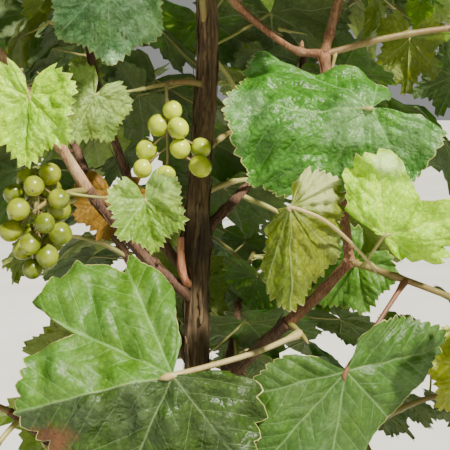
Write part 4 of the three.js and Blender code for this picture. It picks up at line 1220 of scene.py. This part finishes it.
def build_grapes(materials):
    """Both bunches, with their stems, as one piece."""
    batch = Batch()
    for k, (name, foot, top, length, width, count, spots) in enumerate(BUNCHES):
        start = point_on(masses[name]["line"], foot)[0]
        top = Vector(top)
        low = top - UP * (length * 0.86)
        stem = along([start, start.lerp(top, 0.6) + UP * 3, top, top.lerp(low, 0.5), low], 16)
        add_tube(batch, stem, np.linspace(1.5, 0.8, len(stem)), 8, BUNCH_STEM_SLOT)
        for i, (centre, share, radius) in enumerate(berries(top, length, width, count, spots, 500 + k)):
            add_berry(batch, centre, radius, top.lerp(low, max(share - 0.12, 0.02)), 40 * k + i, k)
    batch.build("grapes", materials, "foliage", ["foliage_" + bunch[0] for bunch in BUNCHES])


# Trunk, canes, pot and soil

TRUNK_GRID = (300, 80)
TRUNK_STRIPS = 120
CANE_SIDES = 20
STRIP_THICK = 0.3
# The peeled stub of a branch at the trunk's knob.
STUB = ((-3, -3, 605), (-7, -8, 611), (-9.6, -11.5, 622), (-9.8, -12, 643))
STUB_SIDES = 14
BUD_RADII = (1.5, 1.7, 1.75, 1.65, 1.45, 1.1, 0.7, 0.25)
# The slots of the trunk's and the canes' materials.
TRUNK_SLOTS, STUB_SLOT = (1, 0), 2
ARM_SLOT, CANE_SLOT, TAN_SLOT = range(3)
TAN_CANES = ("cane_left_mid", "cane_left_high")
POT_SIDES, SOIL_SIDES, SOIL_RINGS, CRUMBS = 128, 120, 52, 170


def add_strip(batch, centre_line, out, width, slot, draw):
    """A loose strip of bark along a line: a thin closed ribbon that lifts at its ends."""
    share = np.linspace(-1, 1, len(centre_line))
    lift = mix(0.1, 0.7, draw())
    lift = lift + np.clip(share, 0, 1) ** 3 * mix(0, 3, draw() ** 2)
    lift = lift + np.clip(-share, 0, 1) ** 3 * mix(0, 2.4, draw() ** 2)
    across = unit(np.cross(np.gradient(centre_line, axis=0), out))
    points = centre_line + out * lift[:, None] + across * (np.sin(share * 3 + draw() * 6) * 0.8)[:, None]
    ragged = 1 + 0.25 * np.sin(share * mix(5, 12, draw()) + draw() * 6)
    half = across * (width / 2 * np.clip(1.3 - np.abs(share) ** 5, 0.3, 1) * ragged)[:, None]
    thick = out * STRIP_THICK
    ring = np.stack([points - half, points + thick, points + half, points - thick * 0.4], axis=1)
    add_rings(batch, ring, points[[0, -1]], slot)


def lay_strip(batch, skin, index, twist, gap, widths, slots, draw):
    """A loose strip along some rings of a limb's skin: its points, two ways across it and its radii."""
    points, side, other, radii = skin
    around = radii.shape[1]
    angles = draw() * TAU + np.linspace(0, spread(draw, twist), len(index))
    column = (angles / TAU * around).astype(int) % around
    out = np.cos(angles)[:, None] * side[index] + np.sin(angles)[:, None] * other[index]
    centre = points[index] + out * (radii[index, column][:, None] + gap)
    width = mix(*widths, draw())
    slot = slots[int(draw() * len(slots))] if len(slots) > 1 else slots[0]
    add_strip(batch, centre, out, width, slot, draw)


def trunk_relief(turn, level, z):
    """Flat strips of bark with fibres and threads along them, the roots' folds and the knob's lumps."""
    coarse, ridge, fibre, thread, roots = (
        noise_of(3 + k, *cells) for k, cells in enumerate(((6, 64), (16, 64), (40, 128), (80, 256), (5, 8)))
    )
    drift = 0.5 * coarse(turn * 6, level / 70) + 0.25
    strips = 0.5 - 2 * np.abs(ridge((turn + drift * 0.12) * 16, level / 48))
    fibres = 1.1 * fibre((turn + drift * 0.1) * 40, level / 30)
    threads = 0.7 * thread((turn + drift * 0.1) * 80, level / 16)
    folds = 5 * np.exp(-(z - SOIL_TOP) / 26) * roots(turn * 5, 0)
    lumps = 1.8 * np.exp(-(((z - KNOB[0]) / 9) ** 2)) * (coarse(turn * 6 + 2, level / 8) + 0.2)
    return 1.5 * strips + fibres + threads + 1.6 * coarse(turn * 6, level / 40) + folds + lumps


def build_trunk(materials):
    """The trunk with its root flare and its knob, loose strips of bark all over it, and the peeled stub."""
    batch = Batch()
    _, route, radius = LIMBS["trunk"]
    rings, around = TRUNK_GRID
    length, share = line_length(route), np.linspace(0, 1, rings + 1)
    line = [Vector((p.x, p.y, max(p.z, SOIL_TOP - 3))) for p in along(route, rings)]
    z = array_of(line)[:, 2]
    core = mix(*radius, share) + FLARE[0] * np.exp(-(z - SOIL_TOP - 0.3) / FLARE[1])
    core = (core + KNOB[1] * np.exp(-(((z - KNOB[0]) / KNOB[2]) ** 2)))[:, None]
    relief = trunk_relief(np.arange(around) / around, share[:, None] * length, z[:, None])
    radii = core + relief * np.clip(core / 9, 0.6, 1)
    add_tube(batch, line, radii, around)
    skin = (*frames_along(line), radii)
    draw = seeded(811)
    for _ in range(TRUNK_STRIPS):
        start = int(mix(0.02, 0.9, draw()) * rings)
        count = max(int(mix(18, 75, draw()) / (length / rings)), 8)
        index = np.unique(np.linspace(start, min(start + count, rings), 12).astype(int))
        lay_strip(batch, skin, index, 0.35, 0.1, (1.8, 5), TRUNK_SLOTS, draw)
    stub = along(STUB, 18)
    rough = noise_of(8, STUB_SIDES, 32)(np.arange(STUB_SIDES), np.arange(len(stub))[:, None] * 0.3) * 1.6
    add_tube(batch, stub, np.linspace(3.5, 2.1, len(stub))[:, None] + rough, STUB_SIDES, STUB_SLOT)
    batch.build("trunk_bark", materials, "bark", ["trunk"])


def add_cane(batch, name, n):
    """A cane or a bough: thicker at its foot, its nodes and its fork, with grooves, loose strips and buds."""
    on, route, radius = LIMBS[name]
    old = on == "trunk"
    foot, gap, groove, fibre, strip_every = (1.4, 62, 0.9, 0.55, 14) if old else (0.5, 50, 0.5, 0.3, 40)
    slot = TAN_SLOT if name in TAN_CANES else ARM_SLOT if old else CANE_SLOT
    length = line_length(route)
    line = along(route, max(int(length / 2.4), 12))
    share = np.linspace(0, 1, len(line))
    level = share * length
    knots = np.arange(gap * 0.6, length - 5, gap)
    core = mix(*radius, share) + foot * np.exp(-np.clip(level - 9, 0, None) / 7)
    core = core + sum(0.85 * np.exp(-(((level - k) / 3.4) ** 2)) for k in knots)
    if any(limb[0] == name for limb in LIMBS.values()):
        core = core + 1.3 * np.exp(-(((share - 1) * length / 5) ** 2))
    turn, level = np.arange(CANE_SIDES) / CANE_SIDES, level[:, None]
    radii = core[:, None] + groove * noise_of(60 + n, 9, 64)(turn * 9, level / 34)
    radii = radii + fibre * noise_of(90 + n, 26, 128)(turn * 26, level / 14)
    add_tube(batch, line, radii, CANE_SIDES, slot)
    points, side, other = frames_along(line)
    draw = seeded(900 + n)
    for _ in range(int(length / strip_every)):
        start = int(mix(0.05, 0.8, draw()) * len(line))
        end = min(start + int(mix(10, 28, draw())), len(line) - 1)
        index = np.unique(np.linspace(start, end, 9).astype(int))
        if len(index) > 3:
            lay_strip(batch, (points, side, other, radii), index, 0.3, 0.05, (0.8, 2.2), (slot,), draw)
    for k in knots:
        i = int(k / length * (len(line) - 1))
        way = side[i] * math.cos(k) + other[i] * math.sin(k)
        root, way = Vector(points[i] + way * (core[i] - 0.6)), Vector(way)
        bud = [root, root + way * 1.6, root + way * 2.6 + UP * 1.2, root + way * 3 + UP * 2.4]
        add_tube(batch, along(bud, 7), BUD_RADII, 8, slot)


def build_canes(materials):
    """Every limb but the trunk, as one piece."""
    batch = Batch()
    names = [name for name in LIMBS if name != "trunk"]
    for n, name in enumerate(names):
        add_cane(batch, name, n)
    batch.build("canes", materials, "cane", names)


def rounded(points, radius, steps=4):
    """A profile with its corners rounded."""
    out = [points[0]]
    for a, b, c in zip(points, points[1:], points[2:]):
        a, b, c = (np.array(p, float) for p in (a, b, c))
        before, after = a - b, c - b
        r = min(radius, 0.4 * np.linalg.norm(before), 0.4 * np.linalg.norm(after))
        start, end = b + unit(before) * r, b + unit(after) * r
        for t in np.linspace(0, 1, steps + 1):
            out.append(tuple(start * (1 - t) ** 2 + b * 2 * t * (1 - t) + end * t * t))
    return [*out, points[-1]]


def finely(profile, most):
    """A profile with long stretches cut into shorter ones."""
    out = [profile[0]]
    for a, b in zip(profile, profile[1:]):
        count = max(int(math.hypot(b[0] - a[0], b[1] - a[1]) / most), 1)
        out += [(mix(a[0], b[0], k / count), mix(a[1], b[1], k / count)) for k in range(1, count + 1)]
    return out


def pot_inner(z):
    """The radius of the pot's inside at a height, or at each of an array of heights."""
    return mix(POT["foot"], POT["shoulder"], z / POT["shoulder_height"]) - POT["wall"]


def build_pot(materials):
    """The pot, turned from its underside round its rim to its floor, with the wheel's marks outside."""
    shoulder, top, floor = POT["shoulder_height"], POT["height"], POT["floor"]
    profile = [
        (0, 0), (POT["foot"], 0), (POT["foot"] + 3, 18), (POT["shoulder"], shoulder),
        (POT["rim"], shoulder + 5), (POT["rim"], top), (POT_LIP, top),
        (pot_inner(shoulder), shoulder), (pot_inner(floor), floor), (0, floor),
    ]
    r, z = np.array(finely(rounded(profile, 4.5), 7)[1:-1]).T[..., None]
    turn, cos, sin = circle(POT_SIDES)
    rings, blots, share = noise_of(21, 4, 512), noise_of(22, 9, 24), turn / TAU
    marks = 0.5 * rings(share * 4, z / 2.3) + 0.9 * blots(share * 9, z / 34)
    radii = r + np.where((r > pot_inner(z) + 6) & (z > 3), marks, 0)
    skin = np.stack([radii * cos, radii * sin, np.broadcast_to(z, radii.shape)], axis=-1)
    batch = Batch()
    add_rings(batch, skin, array_of([profile[0] + (0,), (0, 0, floor)]))
    batch.build("pot_fired", materials, "clay", ["pot"])


def build_soil(materials):
    """Compost that fills the pot and falls a little to its wall, with loose crumbs on it."""
    shoulder, top, floor = POT["shoulder_height"], POT["height"], POT["floor"] + 0.3
    edge = mix(pot_inner(shoulder), POT_LIP, (SOIL_TOP - SOIL_FALL - shoulder) / (top - shoulder))
    lumps, crumbs, grit, bulge = (noise_of(31 + k, size, size) for k, size in enumerate((24, 96, 200, 32)))

    def level(x, y):
        r = np.hypot(x, y)
        fall = SOIL_FALL * np.clip((r - 45) / (edge - 45), 0, 1)
        rough = 3 * lumps(x / 22 + 8, y / 22 + 8) + 2.2 * crumbs(x / 6 + 40, y / 6 + 40)
        rough = rough + 1.2 * grit(x / 2.6 + 90, y / 2.6 + 90)
        return SOIL_TOP - fall + rough * np.clip((edge - r) / 6, 0, 1)

    _, cos, sin = circle(SOIL_SIDES)
    radii = np.append(np.linspace(3, edge - 2, SOIL_RINGS), edge - 0.3)[:, None]
    skin = [np.stack([radii * cos, radii * sin, level(radii * cos, radii * sin)], axis=-1)]
    for z in (shoulder, floor):
        r = pot_inner(z) - 0.3
        skin.append(np.stack([r * cos, r * sin, np.full(SOIL_SIDES, z)], axis=-1)[None])
    batch = Batch()
    add_rings(batch, np.concatenate(skin), array_of([(0, 0, level(0, 0)), (0, 0, floor)]), inward=True)
    ball = bmesh.new()
    bmesh.ops.create_icosphere(ball, subdivisions=2, radius=1)
    corners = array_of(v.co for v in ball.verts)
    sides = np.array([[v.index for v in face.verts] for face in ball.faces])
    ball.free()
    x, y, z = corners.T[..., None]
    draw = seeded(61)
    for k in range(CRUMBS):
        r, angle = mix(14, edge - 8, math.sqrt(draw())), draw() * TAU
        size = mix(1.2, 5, draw() ** 2)
        crumb = corners * (1 + 0.5 * bulge(x * 1.7 + k, y * 1.7 + z * 1.3 + k * 0.7))
        crumb = crumb * (1, mix(0.7, 1, draw()), mix(0.55, 0.8, draw())) * size
        place = r * math.cos(angle), r * math.sin(angle)
        batch.add(crumb + (*place, level(*place) + size * 0.22), [sides], 1 if draw() < 0.3 else 0)
    batch.build("soil_crumbs", materials, "soil", ["soil"])


# Materials

class Paint:
    """A material's nodes, built up call by call. Scales are per metre."""

    def __init__(self, name):
        self.material = bpy.data.materials.new(name)
        self.material.use_nodes = True
        self.tree = self.material.node_tree
        self.tree.nodes.clear()
        self.object = self.put("ShaderNodeTexCoord").outputs["Object"]

    def put(self, kind, inputs=(), **settings):
        """Adds a node. An input is a number, a colour of three numbers, a vector or another node's output."""
        node = self.tree.nodes.new(kind)
        for key, value in settings.items():
            setattr(node, key, value)
        for key, value in dict(inputs).items():
            socket = node.inputs[key]
            if isinstance(value, bpy.types.NodeSocket):
                self.tree.links.new(value, socket)
            else:
                socket.default_value = (*value, 1) if socket.type == "RGBA" else value
        return node

    def math(self, operation, *values):
        return self.put("ShaderNodeMath", enumerate(values), operation=operation).outputs[0]

    def span(self, value, low, high, start=0, end=1):
        """A value's range from low to high, brought smoothly to start and end."""
        inputs = {"Value": value, "From Min": low, "From Max": high, "To Min": start, "To Max": end}
        return self.put("ShaderNodeMapRange", inputs, interpolation_type="SMOOTHSTEP").outputs[0]

    def blend(self, share, a, b):
        return self.put("ShaderNodeMix", {0: share, 6: a, 7: b}, data_type="RGBA").outputs[2]

    def layer(self, under, over, *where):
        """A colour laid over another by a span: its value, low, high, start and end."""
        return self.blend(self.span(*where), under, over)

    def total(self, *parts):
        """The sum of values, each times its weight."""
        result = 0
        for value, weight in parts:
            result = self.math("MULTIPLY_ADD", value, weight, result)
        return result

    def noise(self, scale, detail=3, rough=0.55, vector=None):
        inputs = {"Vector": vector or self.object, "Scale": scale, "Detail": detail, "Roughness": rough}
        return self.put("ShaderNodeTexNoise", inputs).outputs[0]

    def cells(self, scale, feature="F1"):
        inputs = {"Vector": self.object, "Scale": scale}
        return self.put("ShaderNodeTexVoronoi", inputs, feature=feature).outputs[0]

    def stretched(self, x, y, z):
        return self.put("ShaderNodeMapping", {"Vector": self.object, "Scale": (x, y, z)}).outputs[0]

    def level(self):
        return self.put("ShaderNodeSeparateXYZ", {0: self.object}).outputs[2]

    def bump(self, height, strength, distance):
        inputs = {"Height": height, "Strength": strength, "Distance": distance}
        return self.put("ShaderNodeBump", inputs).outputs[0]

    def finish(self, colour, rough, normal, through=None, through_share=0, **shine):
        """The material: a surface, mixed with light that comes through if a colour for that is given."""
        inputs = {"Base Color": colour, "Roughness": rough, "Normal": normal}
        inputs.update({key.replace("_", " "): value for key, value in shine.items()})
        surface = self.put("ShaderNodeBsdfPrincipled", inputs).outputs[0]
        if through is not None:
            glow = self.put("ShaderNodeBsdfTranslucent", {"Color": through, "Normal": normal}).outputs[0]
            surface = self.put("ShaderNodeMixShader", {0: through_share, 1: surface, 2: glow}).outputs[0]
        self.put("ShaderNodeOutputMaterial", {"Surface": surface})
        return self.material


def shade(colour, factor=1):
    """A colour made lighter or darker, and held at white."""
    return tuple(min(c * factor, 1) for c in colour)


def blade_paint(name, base, rough, crinkle, painted_highlight, spot=None, side=1):
    """A leaf's surface: crinkled between its veins, with shade painted dark in its hollows and a pale
    highlight painted on its ridges.
    """
    p = Paint(name)
    red, green, blue = base
    patch, wrinkle, fine = p.noise(34, 4), p.noise(135, 3, 0.6), p.noise(420)
    web = p.cells(210, "DISTANCE_TO_EDGE")
    place = p.put("ShaderNodeUVMap", uv_map=UV_NAME).outputs[0]
    gaps, off, _ = p.put("ShaderNodeSeparateXYZ", {0: place}).outputs
    step = p.math("FRACT", gaps)
    # Painted shade and light: the hollows of the crinkles are painted darker, the more so the more crinkled
    # the leaf, and their ridges lighter.
    low, high = shade(base, mix(0.92, 0.45, crinkle)), shade(base, 1 + 0.25 * crinkle)
    colour = p.layer(low, high, wrinkle, 0.36, 0.66)
    colour = p.layer(colour, shade((red * 1.5, green * 1.1, blue * 0.6)), patch, 0.35, 0.68, 0, 0.45)
    # Painted shade: darker lines along the cell edges, the sunk net of fine veins where the bump is lowest.
    colour = p.layer(colour, shade(base, 0.4), web, 0.17, 0.02, 0, 0.36 + 0.3 * crinkle)
    # Painted highlight: pale patches on the ridges of the crinkles that stand for light shining off them.
    shine = p.span(p.noise(26, 3, 0.6), 0.43, 0.64, 0, painted_highlight)
    shine = p.math("MULTIPLY", shine, p.span(wrinkle, 0.4, 0.68, 0.4, 1))
    colour = p.blend(shine, colour, (red * 0.8 + 0.4, green * 0.7 + 0.46, blue + 0.36))
    side_veins = p.span(p.math("ABSOLUTE", p.math("SUBTRACT", step, 0.5)), 0.462, 0.492)
    side_veins = p.math("MULTIPLY", side_veins, p.span(off, 0.5, 0.15, 0.25, 0.85))
    veins = p.math("MAXIMUM", side_veins, p.span(off, 0.014, 0.003, 0, 0.8))
    colour = p.blend(p.math("MULTIPLY", veins, 0.85), colour, shade([c * 1.4 + 0.1 for c in base]))
    colour = p.layer(colour, RUST, p.noise(120, 5, 0.7), 0.69, 0.76, 0, 0.5)
    if spot:
        centre, near, far, tone = spot
        gap = p.put("ShaderNodeVectorMath", {0: p.object, 1: centre}, operation="DISTANCE").outputs[1]
        gap = p.math("ADD", gap, p.span(p.noise(70, 4), 0.3, 0.7, -0.004, 0.004))
        colour = p.layer(colour, tone, gap, far, near, 0, 0.85)
    cushion = p.math("MULTIPLY", p.math("SINE", p.math("MULTIPLY", step, math.pi)), p.span(off, 0, 0.07))
    height = p.total(
        (cushion, 0.3 * side), (p.span(web, 0, 0.4), (0.04 + 0.34 * crinkle) * side),
        (wrinkle, 3.6 * crinkle * side), (fine, 0.14),
    )
    through = (red * 1.5 + 0.04, green * 1.5 + 0.06, blue * 0.5)
    glow = p.blend(p.math("MULTIPLY", veins, 0.5), through, shade(through, 0.45))
    gloss = p.span(patch, 0.3, 0.7, rough - 0.05, rough + 0.08)
    return p.finish(colour, gloss, p.bump(height, 0.75, 0.0014), glow, 0.36)


def line_paint(name, low, high):
    """A leaf's veins, or its dry margin."""
    p = Paint(name)
    colour = p.layer(low, high, p.noise(160), 0.3, 0.7)
    return p.finish(colour, 0.5, p.bump(p.noise(900), 0.3, 0.0003), high, 0.25)


def leaf_paints():
    """The materials of LEAF_SLOTS, in its order."""
    made = [blade_paint("blade_" + tint, *look[1:]) for tint, look in LEAF_LOOKS.items()]
    made += [blade_paint(name, *look, side=-1) for name, look in UNDERSIDES.items()]
    return made + [line_paint(name, *tones) for name, tones in LINES.items()]


def stem_paint(name, base, blush, share):
    """A shoot or stalk: green, flushed with red or brown on patches, with fine lines along it."""
    p = Paint(name)
    colour = p.layer(base, blush, p.noise(30, 4), 0.35, 0.65, share * 0.4, share)
    colour = p.layer(colour, shade(base, 1.35), p.noise(500), 0.45, 0.7, 0, 0.35)
    return p.finish(colour, p.span(p.noise(200), 0.3, 0.7, 0.42, 0.6), p.bump(p.noise(900), 0.45, 0.0004))


def bark_paint(name, dark, light, edge, scale, knob=0):
    """Fibrous bark: dark in its furrows, with threads along it, and darker round the trunk's knob."""
    p = Paint(name)
    threads = p.noise(1, 6, 0.62, p.stretched(scale, scale, scale * 0.12))
    colour = p.layer(dark, light, threads, 0.34, 0.66)
    colour = p.layer(colour, edge, p.noise(55, 4), 0.5, 0.72, 0, 0.6)
    colour = p.layer(colour, shade(dark, 0.5), p.noise(1400), 0.62, 0.72, 0, 0.4)
    if knob:
        off = p.math("ABSOLUTE", p.math("SUBTRACT", p.level(), KNOB[0] * MM))
        colour = p.layer(colour, shade(dark, 0.6), off, 0.024, 0.008, 0, knob)
    height = p.total((threads, 1), (p.noise(1600), 0.35))
    return p.finish(colour, p.span(threads, 0.3, 0.7, 0.82, 0.96), p.bump(height, 0.8, 0.0012))


def clay_paint():
    """Fired clay with a bloom of lime on it, damp at its foot, and a little moss."""
    p = Paint("fired_clay")
    fine, z = p.noise(260, 4, 0.6), p.level()
    colour = p.layer((0.36, 0.135, 0.07), (0.5, 0.22, 0.12), p.noise(9, 5, 0.6), 0.35, 0.65)
    colour = p.layer(colour, (0.42, 0.17, 0.085), fine, 0.4, 0.7, 0, 0.5)
    bloom = p.noise(1, 6, 0.7, p.stretched(22, 22, 10))
    colour = p.layer(colour, (0.66, 0.55, 0.46), bloom, 0.54, 0.72, 0, 0.65)
    damp = p.math("MULTIPLY", p.span(z, 0.06, 0), p.span(p.noise(24, 4), 0.3, 0.6, 0.3, 0.8))
    colour = p.blend(damp, colour, (0.16, 0.08, 0.045))
    moss = p.math("MULTIPLY", p.span(p.noise(40, 6, 0.7), 0.6, 0.7), p.span(z, 0.16, 0.02, 0, 0.6))
    colour = p.blend(moss, colour, (0.1, 0.13, 0.05))
    height = p.total((fine, 0.6), (p.span(p.cells(620), 0.12, 0.3), 0.5))
    return p.finish(colour, p.span(fine, 0.3, 0.7, 0.78, 0.92), p.bump(height, 0.5, 0.0006))


def soil_paint(name, dark, light):
    """Compost: dark and crumbly, with pale flecks."""
    p = Paint(name)
    grain = p.noise(380, 6, 0.7)
    colour = p.layer(dark, light, grain, 0.35, 0.68)
    colour = p.layer(colour, (0.2, 0.15, 0.1), p.cells(240), 0.16, 0.08, 0, 0.5)
    height = p.total((grain, 1), (p.noise(1200), 0.4))
    return p.finish(colour, p.span(grain, 0.3, 0.7, 0.85, 0.98), p.bump(height, 0.9, 0.0015))


def berry_paint(name, bright):
    """A green grape: clear flesh under a thin bloom, with small dots."""
    p = Paint(name)
    low, high = shade((0.2, 0.27, 0.01), bright), shade((0.45, 0.52, 0.02), bright)
    colour = p.layer(low, high, p.noise(55, 2), 0.35, 0.65)
    bloom = p.span(p.noise(150, 3, 0.5), 0.45, 0.75, 0, 0.18)
    colour = p.blend(bloom, colour, (0.56, 0.62, 0.2))
    colour = p.layer(colour, (0.2, 0.16, 0.04), p.cells(620), 0.1, 0.06, 0, 0.4)
    return p.finish(
        colour, p.math("MULTIPLY_ADD", bloom, 0.6, 0.27), p.bump(p.noise(700), 0.06, 0.0003),
        Subsurface_Weight=0.5, Subsurface_Radius=(1.0, 0.95, 0.2), Subsurface_Scale=0.003,
    )


def plain_paint(name, a, b, scale, rough):
    """A dull surface in two close colours."""
    p = Paint(name)
    colour = p.layer(a, b, p.noise(scale, 4), 0.35, 0.65)
    return p.finish(colour, rough, p.bump(p.noise(scale * 5), 0.4, 0.0004))


RUST = (0.14, 0.075, 0.025)
# Shoots and stalks, in the order of their slots: their colour, their flush and how far it goes.
STEMS = {
    "shoot": ((0.2, 0.23, 0.05), (0.24, 0.12, 0.05), 0.9),
    "stalk": ((0.33, 0.38, 0.1), (0.38, 0.2, 0.1), 0.5),
    "stalk_red": ((0.14, 0.075, 0.035), (0.25, 0.1, 0.05), 0.9),
    "stalk_pale": ((0.45, 0.42, 0.16), (0.42, 0.24, 0.11), 0.6),
}
# Bark, in the order of its slots: dark, light and edge colours, how fine its threads are, and how dark the
# knob is.
TRUNK_BARKS = {
    "bark_dark": ((0.052, 0.031, 0.014), (0.17, 0.106, 0.05), (0.23, 0.155, 0.085), 520, 0.75),
    "bark_strip": ((0.09, 0.052, 0.024), (0.24, 0.15, 0.075), (0.3, 0.205, 0.12), 520, 0.6),
    "peeled_stub": ((0.34, 0.12, 0.06), (0.68, 0.3, 0.17), (0.74, 0.42, 0.27), 600),
}
CANE_BARKS = {
    "bark_arm": ((0.05, 0.026, 0.018), (0.18, 0.09, 0.052), (0.26, 0.16, 0.1), 850),
    "cane_bark": ((0.13, 0.055, 0.026), (0.31, 0.15, 0.075), (0.4, 0.25, 0.14), 1000),
    "cane_tan": ((0.27, 0.13, 0.07), (0.56, 0.35, 0.2), (0.68, 0.48, 0.3), 1000),
}

build_groups(leaf_paints(), [stem_paint(name, *look) for name, look in STEMS.items()])
build_grapes([
    berry_paint("grape_shaded", 0.62),
    berry_paint("grape_sunlit", 1.25),
    plain_paint("grape_scar", (0.1, 0.06, 0.03), (0.16, 0.11, 0.05), 600, 0.7),
    stem_paint("bunch_stem", (0.2, 0.21, 0.06), (0.2, 0.1, 0.045), 0.8),
])
build_trunk([bark_paint(name, *look) for name, look in TRUNK_BARKS.items()])
build_canes([bark_paint(name, *look) for name, look in CANE_BARKS.items()])
build_pot([clay_paint()])
build_soil([
    soil_paint("soil_dark", (0.02, 0.014, 0.01), (0.085, 0.06, 0.042)),
    soil_paint("soil_light", (0.06, 0.045, 0.034), (0.17, 0.135, 0.1)),
])

# Floor, light and camera, in metres

FLOOR_RADIUS, FLOOR_SIDES = 60, 64
SKY, SKY_STRENGTH = (0.94, 0.945, 0.915, 1), 0.3
# Each light: its kind, the side that it stands on, its energy, its colour and its size, in degrees for the
# sun.
LIGHTS = {
    "key": ("SUN", (0.5, -0.62, 0.9), 9.4, (1.0, 0.955, 0.81), 4.0),
    "fill_left": ("AREA", (-1, -0.7, 0.35), 12, (0.95, 0.97, 0.96), 2.0),
    "fill_back": ("AREA", (-0.2, 1, 0.5), 30, (1.0, 0.97, 0.87), 2.0),
}
LIGHT_TARGET, LIGHT_DISTANCE = Vector((0, 0, 0.7)), 3
VIEW_TARGET, VIEW_PLACE = Vector((0.022, 0, 0.65)), Vector((0.022, -0.5942, 0.7335))


def stand(name, data, place, target):
    """Adds a light or a camera that looks from its place at a target."""
    piece = bpy.data.objects.new(name, data)
    piece.location = place
    piece.rotation_mode = "QUATERNION"
    piece.rotation_quaternion = (target - place).to_track_quat("-Z", "Y")
    bpy.context.scene.collection.objects.link(piece)
    return piece


def add_light(name, kind, way, energy, colour, size):
    light = bpy.data.lights.new(name, kind)
    light.energy, light.color = energy, colour
    if kind == "SUN":
        light.angle = math.radians(size)
    else:
        light.size = size
    stand(name, light, LIGHT_TARGET + Vector(way).normalized() * LIGHT_DISTANCE, LIGHT_TARGET)


_, floor_cos, floor_sin = circle(FLOOR_SIDES)
floor_ring = [(FLOOR_RADIUS * x, FLOOR_RADIUS * y, 0) for x, y in zip(floor_cos, floor_sin)]
floor_mesh = bpy.data.meshes.new("floor")
floor_mesh.from_pydata(floor_ring, [], [tuple(range(FLOOR_SIDES))])
floor_mesh.materials.append(plain_paint("pale_floor", (0.62, 0.61, 0.58), (0.68, 0.67, 0.64), 3, 0.85))
floor_piece = bpy.data.objects.new("floor", floor_mesh)
bpy.context.scene.collection.objects.link(floor_piece)

world = bpy.data.worlds.new("studio")
world.use_nodes = True
for socket, value in zip(world.node_tree.nodes["Background"].inputs, (SKY, SKY_STRENGTH)):
    socket.default_value = value
bpy.context.scene.world = world
for name, light in LIGHTS.items():
    add_light(name, *light)

camera = bpy.data.cameras.new("camera")
camera.sensor_width, camera.lens, camera.clip_start = 36, 65.45, 0.01
bpy.context.scene.camera = stand("camera", camera, VIEW_PLACE, VIEW_TARGET)
